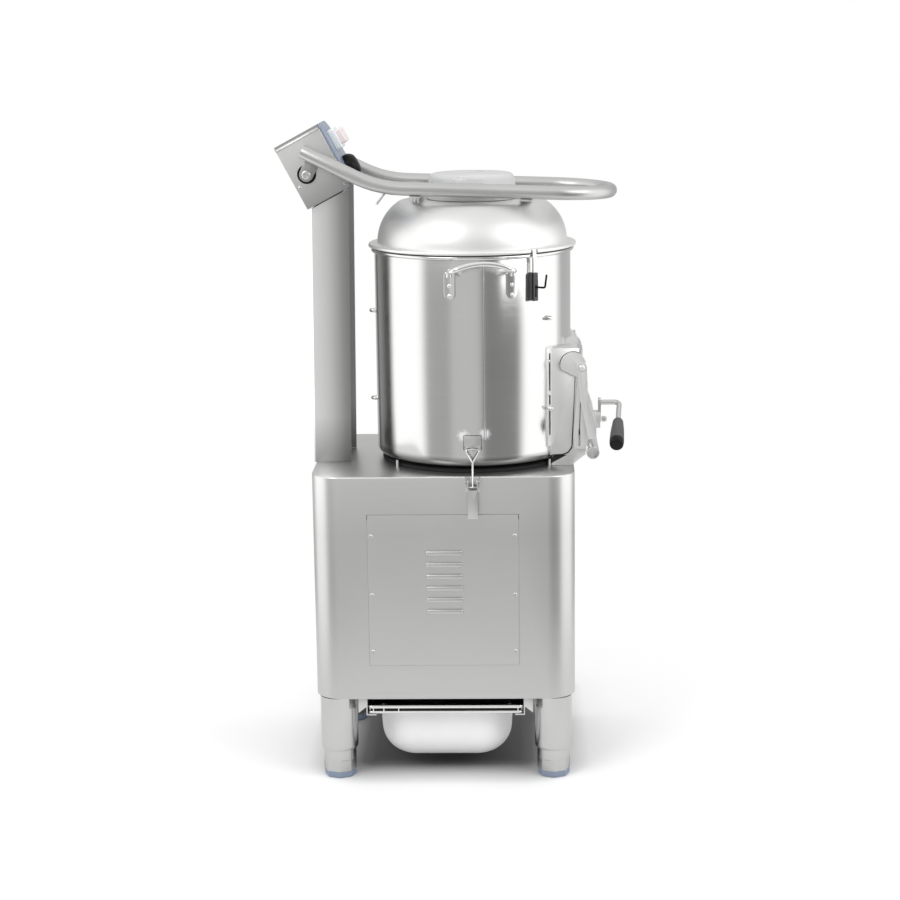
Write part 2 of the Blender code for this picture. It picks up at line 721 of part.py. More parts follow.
def make_service_panel():
    """A flat cover with six pressed louvres and six screws."""
    face = -CABINET_DEPTH / 2 - GAP
    panel = block((PANEL_LEFT, face - SHEET, PANEL_BOTTOM), (PANEL_RIGHT, face, PANEL_TOP))
    rows = [LOUVRE_TOP - i * LOUVRE_PITCH for i in range(LOUVRE_COUNT)]
    hoods = [louvre_tool(z, 0, SHEET / 2) for z in rows]
    height = PANEL_TOP - PANEL_BOTTOM
    screws = []
    for x in (PANEL_LEFT + PANEL_SCREW_INSET, PANEL_RIGHT - PANEL_SCREW_INSET):
        for share in PANEL_SCREW_SHARES:
            seat = Vector((x, face - SHEET / 2, PANEL_BOTTOM + share * height))
            screws.append(dome_head(SCREW_HEAD_RADIUS, SCREW_HEAD_HEIGHT + SHEET / 2, seat,
                                    (0, -1, 0)))
    panel = joined(panel, *(hoods + screws))
    hollows = [louvre_tool(z, -SHEET * 0.6, SHEET + OVERRUN) for z in rows]
    slots = [block((LOUVRE_CENTRE_X - LOUVRE_LENGTH / 2 + LOUVRE_HEIGHT,
                    face - SHEET - LOUVRE_DEPTH - OVERRUN, z - LOUVRE_HEIGHT / 2),
                   (LOUVRE_CENTRE_X + LOUVRE_LENGTH / 2 - LOUVRE_HEIGHT,
                    face - SHEET - GAP, z - LOUVRE_HEIGHT / 2 + LOUVRE_SLOT)) for z in rows]
    piece("service_panel", carved(panel, *(hollows + slots)), "cabinet", "brushed")


def dome_head(radius, height, seat, direction, sides=SIDES_SMALL):
    """A low domed screw or rivet head on a seat, facing a direction."""
    head = turned([(radius, 0), (radius * 0.92, height * 0.45), (radius * 0.45, height)],
                  sides=sides)
    turn = Vector((0, 0, 1)).rotation_difference(Vector(direction).normalized())
    return moved(head, Matrix.Translation(seat) @ turn.to_matrix().to_4x4())


def cap_nut(radius, height, seat, direction):
    """A hexagon nut with a domed cap, on a seat, facing a direction."""
    hexagon = turned([(radius, -height * 0.1), (radius, height * 0.45)], sides=6)
    cap = turned([(radius * 0.80, height * 0.2), (radius * 0.78, height * 0.7),
                  (radius * 0.55, height * 0.9), (radius * 0.22, height)], sides=SIDES_SMALL)
    turn = Vector((0, 0, 1)).rotation_difference(Vector(direction).normalized())
    return moved(joined(hexagon, cap), Matrix.Translation(seat) @ turn.to_matrix().to_4x4())


# Filter drawer

def frame_bottom():
    return RAIL_BOTTOM + RAIL_WEB + GAP


def make_rails():
    """Two folded rails with a gusset at each end, under the base."""
    inner = RAIL_INNER_X
    top = CABINET_BOTTOM - GAP
    outline = [(inner, RAIL_BOTTOM + RAIL_WEB), (inner - RAIL_FLANGE, RAIL_BOTTOM + RAIL_WEB),
               (inner - RAIL_FLANGE, RAIL_BOTTOM), (inner + RAIL_WEB, RAIL_BOTTOM),
               (inner + RAIL_WEB, top - RAIL_WEB), (inner + RAIL_GUSSET, top - RAIL_WEB),
               (inner + RAIL_GUSSET, top), (inner, top)]
    gusset = [(inner + RAIL_WEB / 2, RAIL_BOTTOM + RAIL_GUSSET),
              (inner + RAIL_GUSSET, RAIL_BOTTOM + RAIL_WEB * 2),
              (inner + RAIL_GUSSET, top - RAIL_WEB / 2), (inner + RAIL_WEB / 2, top - RAIL_WEB / 2)]
    for name, side in (("left", -1), ("right", 1)):
        rail = upright([(side * x, z) for x, z in outline], -RAIL_LENGTH / 2, RAIL_LENGTH / 2)
        ends = []
        for end in (-1, 1):
            low, high = sorted((end * RAIL_LENGTH / 2, end * (RAIL_LENGTH / 2 - RAIL_WEB)))
            ends.append(upright([(side * x, z) for x, z in gusset], low, high))
        piece(f"drawer_rail_{name}", joined(rail, *ends), "cabinet", "satin")


def make_drawer():
    """A drawer of a slotted frame, a filter screen and a waste pan."""
    body("filter_drawer", (0.0, 0.0, frame_bottom()), "cabinet")
    low = frame_bottom()
    top = low + FRAME_HEIGHT

    def frame_loop(inset, z):
        radius = max(FRAME_CORNER - inset, FRAME_CORNER / 3)
        return level(rounded_rectangle(FRAME_WIDTH - 2 * inset, FRAME_LENGTH - 2 * inset,
                                       radius, 2), z)

    ledge = low + SHEET
    frame = loft([frame_loop(0, low), frame_loop(0, top), frame_loop(FRAME_WALL, top),
                  frame_loop(FRAME_WALL, ledge), frame_loop(FRAME_LEDGE, ledge),
                  frame_loop(FRAME_LEDGE, low)], ring=True)
    slots = []
    z_low, z_high = low + FRAME_BAR, top - FRAME_BAR
    ends = FRAME_WIDTH / 2 - FRAME_CORNER - FRAME_POST
    sides = FRAME_LENGTH / 2 - FRAME_CORNER - FRAME_POST
    for y in (-FRAME_LENGTH / 2, FRAME_LENGTH / 2):
        width = 2 * ends / FRAME_END_BAYS
        for i in range(FRAME_END_BAYS):
            left = -ends + i * width + FRAME_POST / 2
            slots.append(block((left, y - OVERRUN, z_low),
                               (left + width - FRAME_POST, y + OVERRUN, z_high)))
    for x in (-FRAME_WIDTH / 2, FRAME_WIDTH / 2):
        width = 2 * sides / FRAME_SIDE_BAYS
        for i in range(FRAME_SIDE_BAYS):
            near = -sides + i * width + FRAME_POST / 2
            slots.append(block((x - OVERRUN, near, z_low),
                               (x + OVERRUN, near + width - FRAME_POST, z_high)))
    piece("drawer_frame", carved(frame, gathered(*slots)), "filter_drawer", "brushed")

    half_x = FRAME_WIDTH / 2 - FRAME_WALL - GAP
    half_y = FRAME_LENGTH / 2 - FRAME_WALL - GAP
    outline = rounded_rectangle(2 * half_x, 2 * half_y, FRAME_CORNER - FRAME_WALL, 2)
    screen = prism(outline, ledge + GAP, ledge + GAP + SHEET)
    piece("filter_screen", screen, "filter_drawer", "brushed")

    rim = low - GAP
    bottom = rim - PAN_DEPTH

    def pan_loop(inset, z, wall=0.0):
        return level(rounded_rectangle(PAN_TOP_WIDTH - 2 * (inset + wall),
                                       PAN_TOP_LENGTH - 2 * (inset + wall),
                                       PAN_CORNER - wall, PAN_CORNER_STEPS), z)

    rounds = [(PAN_BOTTOM_RADIUS * (1 - math.cos(radians_of(a))),
               PAN_BOTTOM_RADIUS * (1 - math.sin(radians_of(a))))
              for a in [90 * i / PAN_ROUND_STEPS for i in range(PAN_ROUND_STEPS + 1)]]
    outer = [pan_loop(0, rim)] + [pan_loop(PAN_DRAFT + x, bottom + z) for x, z in rounds]
    scale = (PAN_BOTTOM_RADIUS - PAN_WALL) / PAN_BOTTOM_RADIUS
    inner = [pan_loop(PAN_DRAFT + x * scale, bottom + PAN_WALL + z * scale, PAN_WALL)
             for x, z in reversed(rounds)] + [pan_loop(0, rim, PAN_WALL)]
    piece("waste_pan", loft(list(reversed(outer)) + list(reversed(inner))), "filter_drawer",
          "white_plastic")


# Drum

def drum_profile():
    """Outer then inner wall, from the bottom's bore up to the rolled rim and back."""
    bore = SPINDLE_RADIUS * 1.5
    low = DRUM_BOTTOM
    round_centre = (DRUM_RADIUS - DRUM_BOTTOM_RADIUS, low + DRUM_BOTTOM_RADIUS)
    outer = [(bore, low)] + arc(round_centre, DRUM_BOTTOM_RADIUS, -90, 0, 4)
    rim_centre = (DRUM_RADIUS + RIM_RADIUS - SHEET, DRUM_TOP - RIM_RADIUS)
    outer += arc(rim_centre, RIM_RADIUS, -120, 90, RIM_STEPS)
    inner_radius = DRUM_BOTTOM_RADIUS - SHEET
    inner = [(DRUM_RADIUS - SHEET, DRUM_TOP - RIM_RADIUS * 0.5)]
    inner += list(reversed(arc(round_centre, inner_radius, -90, 0, 4)))
    inner += [(bore, low + SHEET)]
    return outer + inner


def chute_window(half_width, low, high):
    """The cutter of the opening from the drum to the chute."""
    return block((DRUM_X, -half_width, low), (DRUM_X + DRUM_RADIUS + OVERRUN, half_width, high))


def window_size(margin=0.0):
    """Half width, bottom and top of the drum's discharge opening."""
    half = CHUTE_HALF_WIDTH - 2 * CHUTE_WALL - 4 * PLATE - margin
    return half, DISC_BOTTOM + DISC_THICKNESS + margin, CHUTE_TOP - 4 * PLATE - margin


def band_angle():
    """The angle on each side of the door side at which the chute's band is bolted."""
    return math.degrees(math.asin((CHUTE_HALF_WIDTH + BAND_BOLT_REACH) / DRUM_RADIUS))


def make_drum():
    """The peeling drum on its gasket, with its bolts, and the abrasive liner."""
    shell = turned(drum_profile(), (DRUM_X, 0), SIDES_DRUM, ring=True)
    nuts = []
    for angle in (90 - band_angle(), 90 + band_angle(), COLUMN_BOLT_ANGLE):
        for z in DRUM_BOLT_HEIGHTS:
            if angle != COLUMN_BOLT_ANGLE and z < CHUTE_TOP:
                continue
            nut = cap_nut(NUT_RADIUS, NUT_HEIGHT, (0, -DRUM_RADIUS, z), (0, -1, 0))
            nuts.append(moved(nut, round_drum(angle)))
    waste = turned([(WASTE_RADIUS - WASTE_WALL, DRUM_BOTTOM - OVERRUN),
                    (WASTE_RADIUS - WASTE_WALL, DRUM_BOTTOM + OVERRUN)], (DRUM_X, WASTE_Y))
    shell = carved(joined(shell, *nuts), chute_window(*window_size()), waste)
    piece("drum_shell", shell, "cabinet", "polished")

    outer = GASKET_RADIUS - GAP
    gasket = turned([(outer - GASKET_WIDTH, CABINET_TOP + GAP), (outer, CABINET_TOP + GAP),
                     (outer, CABINET_TOP + (DRUM_BOTTOM - CABINET_TOP) * 0.6),
                     (DRUM_RADIUS - DRUM_BOTTOM_RADIUS, DRUM_BOTTOM - GAP),
                     (outer - GASKET_WIDTH, DRUM_BOTTOM - GAP)],
                    (DRUM_X, 0), SIDES_DRUM, ring=True)
    waste_clear = turned([(WASTE_RADIUS + GAP, CABINET_TOP - OVERRUN),
                          (WASTE_RADIUS + GAP, DRUM_BOTTOM + OVERRUN)], (DRUM_X, WASTE_Y))
    piece("drum_gasket", carved(gasket, waste_clear), "cabinet", "rubber")

    outer = DRUM_RADIUS - SHEET - GAP
    inner = outer - LINER_THICKNESS
    low = DRUM_BOTTOM + DRUM_BOTTOM_RADIUS
    liner = turned([(inner, low), (outer, low), (outer, LINER_TOP), (inner, LINER_TOP)],
                   (DRUM_X, 0), SIDES_DRUM, ring=True)
    piece("abrasive_liner", carved(liner, chute_window(*window_size())), "cabinet", "abrasive")


# Side handles

def lug_place(side):
    """The turn about the drum that brings a handle lug to its place."""
    angle = math.degrees(math.asin(HANDLE_HALF_SPAN / DRUM_RADIUS))
    return Matrix.Rotation(radians_of(side * angle), 4, "Z")


def lug_rivet(side, z):
    """A rivet head on a handle's lug."""
    seat = (0, -(DRUM_RADIUS + GAP + LUG_THICKNESS / 2), z)
    head = dome_head(RIVET_RADIUS, RIVET_HEIGHT + LUG_THICKNESS / 2, seat, (0, -1, 0))
    return moved(head, lug_place(side))


def handle_lug(side):
    """A flat lug with round lower end, riveted to the drum."""
    radius = LUG_WIDTH / 2
    top, low = LUG_TOP, LUG_TOP - LUG_HEIGHT
    outline = arc((0, low + radius), radius, 180, 360, 8)
    outline += arc((radius - RIVET_RADIUS, top - RIVET_RADIUS), RIVET_RADIUS, 0, 90, 2)
    outline += arc((RIVET_RADIUS - radius, top - RIVET_RADIUS), RIVET_RADIUS, 90, 180, 2)
    face = -(DRUM_RADIUS + GAP)
    return moved(upright(outline, face - LUG_THICKNESS, face), lug_place(side))


def make_side_handles():
    """Two riveted bow handles that lift the drum off."""
    seat = DRUM_RADIUS + LUG_THICKNESS + HANDLE_ROD * 0.7
    for name, turn in (("front", HANDLE_TURN), ("rear", HANDLE_TURN + 180)):
        parts = [handle_lug(1)]
        parts += [lug_rivet(side, z) for side in (-1, 1) for z in RIVET_HEIGHTS]
        feet = [lug_place(side) @ Vector((0, -seat, LUG_TOP - HANDLE_WELD)) for side in (-1, 1)]
        ends = [lug_place(side) @ Vector((0, -seat, LUG_TOP)) for side in (-1, 1)]
        corners = [end + Vector((0, -HANDLE_REACH, HANDLE_RISE)) for end in ends]
        route = path_points([feet[0], ends[0], corners[0], corners[1], ends[1], feet[1]],
                            [HANDLE_ROD, HANDLE_BEND, HANDLE_BEND, HANDLE_ROD], 3)
        bow = swept(route, HANDLE_ROD, SIDES_SMALL)
        handle = joined(bow, handle_lug(-1), *parts)
        piece(f"side_handle_{name}", moved(handle, round_drum(turn)), "cabinet", "polished")


def swept(points, radius, sides):
    """A round bar along a route, with its rings square to the run."""
    loops = []
    ahead = (points[1] - points[0]).normalized()
    side = ahead.orthogonal().normalized()
    for i, point in enumerate(points):
        before = points[max(i - 1, 0)]
        after = points[min(i + 1, len(points) - 1)]
        run = (after - before).normalized()
        side = (side - run * side.dot(run)).normalized()
        other = run.cross(side)
        turn = 2 * math.pi / sides
        loops.append([point + side * (radius * math.cos(k * turn))
                      + other * (radius * math.sin(k * turn)) for k in range(sides)])
    return loft(loops)


# Toggle latches

def latch_pivot_y():
    return -(CABINET_DEPTH / 2 + LATCH_STAND_OFF)


def bail_bar_y():
    """Depth of the bail's bar: clear of the drum's plate, and not far behind the pins."""
    by_drum = -(DRUM_RADIUS + GAP + KEEPER_SHEET + BAIL_WIRE + 2 * GAP)
    return min(by_drum, latch_pivot_y() + BAIL_LEAN)


def keeper():
    """A plate low on the drum with a narrow hook that holds the bail's bar from below."""
    half, hook = KEEPER_WIDTH / 2, KEEPER_HOOK_WIDTH / 2
    face = -(DRUM_RADIUS + GAP)
    back = face - KEEPER_SHEET
    plate = block((-half, back, KEEPER_PLATE_BOTTOM), (half, face, KEEPER_TOP))
    lip = bail_bar_y() - KEEPER_THROAT
    low = KEEPER_BOTTOM
    outline = [(face, KEEPER_PLATE_BOTTOM + KEEPER_SHEET), (face, low - KEEPER_SHEET),
               (lip - KEEPER_SHEET, low - KEEPER_SHEET), (lip - KEEPER_SHEET, low + KEEPER_LIP),
               (lip, low + KEEPER_LIP), (lip, low), (back, low),
               (back, KEEPER_PLATE_BOTTOM + KEEPER_SHEET)]
    return joined(plate, loft([[Vector((x, y, z)) for y, z in outline] for x in (-hook, hook)]))


def latch_base():
    """A plate on the cabinet with two ears, and in each a stub pin for the lever."""
    face = -(CABINET_DEPTH / 2 + GAP)
    half = LATCH_EAR_WIDTH / 2
    top = LATCH_PIVOT_Z + LATCH_EAR_HEIGHT / 2
    plate = block((-half, face - LATCH_SHEET, LATCH_BASE_BOTTOM), (half, face, top))
    parts = []
    for side in (-1, 1):
        low, high = sorted((side * half, side * (half - LATCH_SHEET)))
        parts.append(block((low, latch_pivot_y() - LATCH_PIN_RADIUS * 2,
                            LATCH_PIVOT_Z - LATCH_EAR_HEIGHT / 2),
                           (high, face - LATCH_SHEET / 2, top)))
        parts.append(rod((side * (half + LATCH_SHEET / 2), latch_pivot_y(), LATCH_PIVOT_Z),
                         (side * (LATCH_WIDTH / 2 - LATCH_SHEET * 1.5), latch_pivot_y(),
                          LATCH_PIVOT_Z), LATCH_PIN_RADIUS))
    notch = block((-half / 3, face - OVERRUN, LATCH_PIVOT_Z - LATCH_PIN_RADIUS * 2),
                  (half / 3, face + OVERRUN, top + OVERRUN))
    return carved(joined(plate, *parts), notch)


def latch_lever():
    """A channel lever that hangs from the stub pins and carries the bail's cross pin."""
    half = LATCH_WIDTH / 2
    y = latch_pivot_y()
    front = y - LATCH_LEVER_DEPTH
    cross = LATCH_PIVOT_Z - LATCH_PIN_DROP
    round_end = LATCH_PIN_RADIUS * 2
    web_top = cross - round_end
    web = block((-half, front, LATCH_LEVER_BOTTOM), (half, front + LATCH_SHEET, web_top))
    outline = [(y + round_end, LATCH_PIVOT_Z + round_end),
               (y - round_end, LATCH_PIVOT_Z + round_end), (front, web_top),
               (front, LATCH_LEVER_BOTTOM), (y - round_end, LATCH_LEVER_BOTTOM),
               (y + round_end, web_top)]
    cheeks = []
    for side in (-1, 1):
        low, high = sorted((side * half, side * (half - LATCH_SHEET)))
        cheeks.append(loft([[Vector((x, py, pz)) for py, pz in outline] for x in (low, high)]))
    holes = [rod((-half - OVERRUN, y, z), (half + OVERRUN, y, z), LATCH_PIN_RADIUS + GAP)
             for z in (LATCH_PIVOT_Z, cross)]
    return carved(joined(web, *cheeks), *holes)


def latch_bail():
    """The cross pin, a rod up from it, and the triangle whose bar lies in the hook."""
    y = latch_pivot_y()
    cross = LATCH_PIVOT_Z - LATCH_PIN_DROP
    bar_y = bail_bar_y()
    bar_z = KEEPER_BOTTOM + BAIL_WIRE + 2 * GAP
    half = LATCH_WIDTH / 2
    pin = rod((-half, y, cross), (half, y, cross), LATCH_PIN_RADIUS)
    share = (BAIL_APEX_Z - cross) / (bar_z - cross)
    apex = Vector((0, y + (bar_y - y) * share, BAIL_APEX_Z))
    stem = swept([Vector((0, y, cross)), apex], BAIL_WIRE * 1.25, SIDES_SMALL)
    corners = [Vector((side * BAIL_HALF_WIDTH, bar_y, bar_z)) for side in (-1, 1)]
    bend = BAIL_WIRE * 2
    low = apex - Vector((0, 0, BAIL_WIRE))
    route = path_points([low, corners[0], corners[1]], [bend], 3)
    other = path_points([corners[0], corners[1], low], [bend], 3)
    triangle = joined(swept(route[:-1] + [Vector((0, bar_y, bar_z))], BAIL_WIRE, 8),
                      swept([Vector((-BAIL_WIRE, bar_y, bar_z))] + other[1:], BAIL_WIRE, 8))
    return joined(stem, pin, triangle)


def make_toggle_latches():
    """Two toggle latches, front and back, that hold the drum down."""
    for name, turn in (("front", 0), ("rear", 180)):
        place = round_drum(turn)
        pivot = place @ Vector((0, latch_pivot_y(), LATCH_PIVOT_Z))
        cross = place @ Vector((0, latch_pivot_y(), LATCH_PIVOT_Z - LATCH_PIN_DROP))
        piece(f"drum_keeper_{name}", moved(keeper(), place), "cabinet", "polished")
        piece(f"toggle_base_{name}", moved(latch_base(), place), "cabinet", "polished")
        body(f"toggle_{name}", pivot, "cabinet")
        body(f"bail_{name}", cross, f"toggle_{name}")
        piece(f"toggle_lever_{name}", moved(latch_lever(), place), f"toggle_{name}", "polished")
        piece(f"toggle_bail_{name}", moved(latch_bail(), place), f"bail_{name}", "polished")


def lid_bolt_planes():
    """Distances from the drum's axis to the lid bolt's housing face and tongue."""
    out = -(DRUM_RADIUS + RIM_RADIUS + BOLT_HOUSING_DEPTH)
    return out, out + BOLT_HOUSING_DEPTH / 2


# Lid bolt

def make_lid_bolt():
    """A small sliding bolt on the drum whose tongue rises into a notch of the lid."""
    place = round_drum(LID_BOLT_TURN)
    out, tongue_y = lid_bolt_planes()
    half = BOLT_HOUSING_WIDTH / 2
    slot = BOLT_WIDTH / 2 + GAP
    housing = block((-half, out, BOLT_HOUSING_BOTTOM),
                    (half, -DRUM_RADIUS + OVERRUN, BOLT_HOUSING_TOP))
    drum = turned([(DRUM_RADIUS + GAP, BOLT_HOUSING_BOTTOM - OVERRUN),
                   (DRUM_RADIUS + GAP, BOLT_HOUSING_TOP + OVERRUN)], sides=SIDES_DRUM)
    channel = block((-slot, tongue_y - BOLT_THICKNESS / 2 - GAP, BOLT_HOUSING_BOTTOM - OVERRUN),
                    (slot, tongue_y + BOLT_THICKNESS / 2 + GAP, BOLT_HOUSING_TOP + OVERRUN))
    window_low = BOLT_TAB_Z - BOLT_THROW - BOLT_THICKNESS - GAP
    window = block((-BOLT_THICKNESS / 2 - GAP, out - OVERRUN, window_low),
                   (BOLT_THICKNESS / 2 + GAP, tongue_y, BOLT_TAB_Z + BOLT_THICKNESS / 2 + GAP))
    housing = moved(carved(housing, channel, window), place)
    drum.transform(Matrix.Translation((DRUM_X, 0, 0)))
    piece("lid_bolt_housing", carved(housing, drum), "cabinet", "black_plastic")

    body("lid_bolt", place @ Vector((0, tongue_y, BOLT_TAB_Z)), "cabinet")
    top = LID_FLANGE_BOTTOM + LID_FLANGE_HEIGHT
    tongue = block((-BOLT_WIDTH / 2, tongue_y - BOLT_THICKNESS / 2, BOLT_TAB_Z - BOLT_THROW),
                   (BOLT_WIDTH / 2, tongue_y + BOLT_THICKNESS / 2, top))
    reach = out - BOLT_TAB_REACH
    tab = block((-BOLT_THICKNESS / 2, reach, BOLT_TAB_Z - BOLT_THICKNESS / 2),
                (BOLT_THICKNESS / 2, tongue_y, BOLT_TAB_Z + BOLT_THICKNESS / 2))
    finger = block((-BOLT_THICKNESS / 2, reach, BOLT_TAB_Z),
                   (BOLT_THICKNESS / 2, reach + BOLT_THICKNESS, BOLT_TAB_Z + BOLT_TAB_HEIGHT))
    piece("lid_bolt_tongue", moved(joined(tongue, tab, finger), place), "lid_bolt", "satin")


# Lid

def dome_curve(inset):
    """The dome's side, from its base to its shoulder, as a quarter ellipse."""
    points = []
    for i in range(DOME_STEPS + 1):
        angle = radians_of(58.0 * i / DOME_STEPS)
        rise = math.sin(angle) / math.sin(radians_of(58.0))
        spread = (math.cos(angle) - math.cos(radians_of(58.0))) / (1 - math.cos(radians_of(58.0)))
        radius = DOME_SHOULDER_RADIUS + (DOME_BASE_RADIUS - DOME_SHOULDER_RADIUS) * spread
        points.append((radius - inset, DOME_BASE_Z + (DOME_SHOULDER_Z - DOME_BASE_Z) * rise))
    return points


def make_lid():
    """The pressed lid with its filler opening, and the clear cover over that opening."""
    low, high = LID_FLANGE_BOTTOM, LID_FLANGE_BOTTOM + LID_FLANGE_HEIGHT
    edge = LID_FLANGE_RADIUS
    fold = LID_FLANGE_HEIGHT / 4
    outer = [(edge - LID_WALL, low), (edge, low + fold), (edge, high - fold),
             (edge - fold, high)] + dome_curve(0)
    outer += [(DOME_SHOULDER_RADIUS - 2 * LID_WALL, DOME_TOP_Z - LID_WALL),
              (FILLER_RADIUS + COVER_WALL, DOME_TOP_Z),
              (FILLER_RADIUS, DOME_TOP_Z + FILLER_COLLAR)]
    inner = [(FILLER_RADIUS - LID_WALL, DOME_TOP_Z + FILLER_COLLAR),
             (FILLER_RADIUS - LID_WALL, DOME_TOP_Z - LID_WALL),
             (DOME_SHOULDER_RADIUS - 3 * LID_WALL, DOME_TOP_Z - 2 * LID_WALL)]
    inner += list(reversed([(r, z - LID_WALL * 0.4) for r, z in dome_curve(LID_WALL)]))
    inner += [(edge - 3 * LID_WALL, high - LID_WALL), (edge - LID_WALL * 1.4, low + fold)]
    lid = turned(outer + inner, (DRUM_X, 0), SIDES_DRUM, ring=True)
    tongue_y = lid_bolt_planes()[1]
    notch = block((-NOTCH_WIDTH / 2, -edge - OVERRUN, low - OVERRUN),
                  (NOTCH_WIDTH / 2, tongue_y + BOLT_THICKNESS / 2 + NOTCH_EASE, high + OVERRUN))
    notch.transform(round_drum(LID_BOLT_TURN))
    piece("lid_dome", carved(lid, notch), "lid", "brushed")

    base = DOME_TOP_Z + GAP
    outer = [(COVER_BASE_RADIUS, base), (COVER_TOP_RADIUS, COVER_TOP_Z - COVER_WALL),
             (COVER_TOP_RADIUS - COVER_WALL, COVER_TOP_Z),
             (COVER_TOP_RADIUS / 2, COVER_TOP_Z + COVER_CROWN)]
    inner = [(COVER_TOP_RADIUS / 2, COVER_TOP_Z + COVER_CROWN - COVER_WALL),
             (COVER_TOP_RADIUS - 2 * COVER_WALL, COVER_TOP_Z - COVER_WALL),
             (COVER_BASE_RADIUS - COVER_WALL, base)]
    cover = turned(inner + outer, (DRUM_X, 0), SIDES_LARGE)
    piece("clear_cover", cover, "lid", "clear_plastic", smooth=40.0)


# Lid lever

def limb_height(x):
    """Height of the lever tube's centre line on its long, nearly level run."""
    knee_z = LIMB_END_Z - math.tan(radians_of(LIMB_SLOPE)) * (LIMB_KNEE_X - LIMB_END_X)
    return knee_z - math.tan(radians_of(LOOP_SLOPE)) * (x - LIMB_KNEE_X)


def make_lever():
    """The bent tube that carries the lid, with its welded lugs and its interlock rod."""
    body("lid", (PIVOT_X, 0.0, PIVOT_Z), "cabinet")
    half = LIMB_HALF_SPACING
    near = []
    knee = path_points([(LIMB_END_X, 0, LIMB_END_Z), (LIMB_KNEE_X, 0, limb_height(LIMB_KNEE_X)),
                        (DRUM_X, 0, limb_height(DRUM_X))], [LIMB_KNEE_RADIUS], 6)
    for point in knee:
        near.append(Vector((point.x, -half, point.z)))
    loop_centre = LOOP_END_X - TUBE_RADIUS - half
    arch = [Vector((x, y, limb_height(x)))
            for x, y in arc((loop_centre, 0), half, -90, 90, 14)]
    route = near + arch + [Vector((p.x, half, p.z)) for p in reversed(near)]
    tube = swept(route, TUBE_RADIUS, 14)

    top = Vector((ROD_X, -half, limb_height(ROD_X) - TUBE_RADIUS / 3))
    lean = radians_of(ROD_LEAN)
    end = top + Vector((-math.cos(lean), 0, -math.sin(lean))) * ROD_LENGTH
    interlock = rod(end, top, ROD_RADIUS, 8)
    piece("lever_tube", joined(tube, interlock, *make_lever_lugs()), "lid", "brushed")


def lug_outline():
    """The lug's side view: round at the pivot, and up to the tube's centre line."""
    slope = radians_of(-LIMB_SLOPE)
    along = Vector((math.cos(slope), math.sin(slope)))
    across = Vector((-along.y, along.x))
    end = Vector((LIMB_END_X, LIMB_END_Z))
    pivot = Vector((PIVOT_X, PIVOT_Z))
    reach = (pivot - end).dot(along)
    top = end + along * reach
    width = LEVER_LUG_RADIUS
    start = math.degrees(math.atan2(across.y, across.x)) + 90
    outline = arc(pivot, LEVER_LUG_RADIUS, start, start + 180, 10)
    outline += [tuple(top + along * width), tuple(top - along * width)]
    return outline


def lug_inner_plane():
    return LIMB_HALF_SPACING - TUBE_RADIUS - LEVER_LUG_THICKNESS


def make_lever_lugs():
    """The two lugs below the tube's ends, bored for the pivot shaft."""
    lugs = []
    inner = lug_inner_plane()
    for side in (-1, 1):
        low, high = sorted((side * inner, side * (inner + LEVER_LUG_THICKNESS + 2 * GAP)))
        lug = upright(lug_outline(), low, high)
        hole = rod((PIVOT_X, low - OVERRUN, PIVOT_Z), (PIVOT_X, high + OVERRUN, PIVOT_Z),
                   SHAFT_RADIUS + GAP, SIDES_MEDIUM)
        lugs.append(carved(lug, hole))
    return lugs


def make_pivot_shaft():
    """The shaft through the lugs and the control box, with a head outside each lug."""
    seat = lug_inner_plane() + LEVER_LUG_THICKNESS + 3 * GAP
    reach = seat + BOLT_HEAD_HEIGHT / 2
    shaft = rod((PIVOT_X, -reach, PIVOT_Z), (PIVOT_X, reach, PIVOT_Z), SHAFT_RADIUS,
                SIDES_MEDIUM)
    heads = [dome_head(BOLT_HEAD_RADIUS * 1.2, BOLT_HEAD_HEIGHT,
                       Vector((PIVOT_X, side * seat, PIVOT_Z)), (0, side, 0), SIDES_MEDIUM)
             for side in (-1, 1)]
    piece("pivot_shaft", joined(shaft, *heads), "lid", "polished")


def lid_surface(x, y):
    """Height of the lid's outside at the inner edge of a stud on it."""
    radius = math.hypot(x - DRUM_X, y) - LID_STUD_RADIUS
    curve = dome_curve(0) + [(DOME_SHOULDER_RADIUS - 2 * LID_WALL, DOME_TOP_Z - LID_WALL),
                             (FILLER_RADIUS + COVER_WALL, DOME_TOP_Z)]
    for (r_out, z_out), (r_in, z_in) in zip(curve, curve[1:]):
        if r_in <= radius <= r_out:
            return z_out + (z_in - z_out) * (r_out - radius) / (r_out - r_in)
    return DOME_TOP_Z


def make_lid_bars():
    """Two flat bars under the lever's limbs, each with two studs down to the lid."""
    for name, x in zip(("rear", "front"), CROSS_BAR_X):
        top = limb_height(x) - (TUBE_RADIUS + GAP) / math.cos(radians_of(LOOP_SLOPE))
        half_width, half = CROSS_BAR_WIDTH / 2, LIMB_HALF_SPACING + TUBE_RADIUS / 2
        drop = math.tan(radians_of(LOOP_SLOPE)) * half_width
        section = [(x - half_width, top + drop), (x + half_width, top - drop),
                   (x + half_width, top - drop - CROSS_BAR_THICKNESS),
                   (x - half_width, top + drop - CROSS_BAR_THICKNESS)]
        bar = upright(section, -half, half)
        fixings = []
        for y in (-LID_BOLT_Y, LID_BOLT_Y):
            nut_seat = (x, y, top - CROSS_BAR_THICKNESS / 4)
            fixings.append(cap_nut(NUT_RADIUS, NUT_HEIGHT * 0.7, nut_seat, (0, 0, 1)))
            fixings.append(turned([(LID_STUD_RADIUS, lid_surface(x, y) + GAP),
                                   (LID_STUD_RADIUS, top - CROSS_BAR_THICKNESS / 2)],
                                  (x, y), SIDES_SMALL))
        piece(f"lid_bar_{name}", joined(bar, *fixings), "lid", "brushed")


# Column and control head

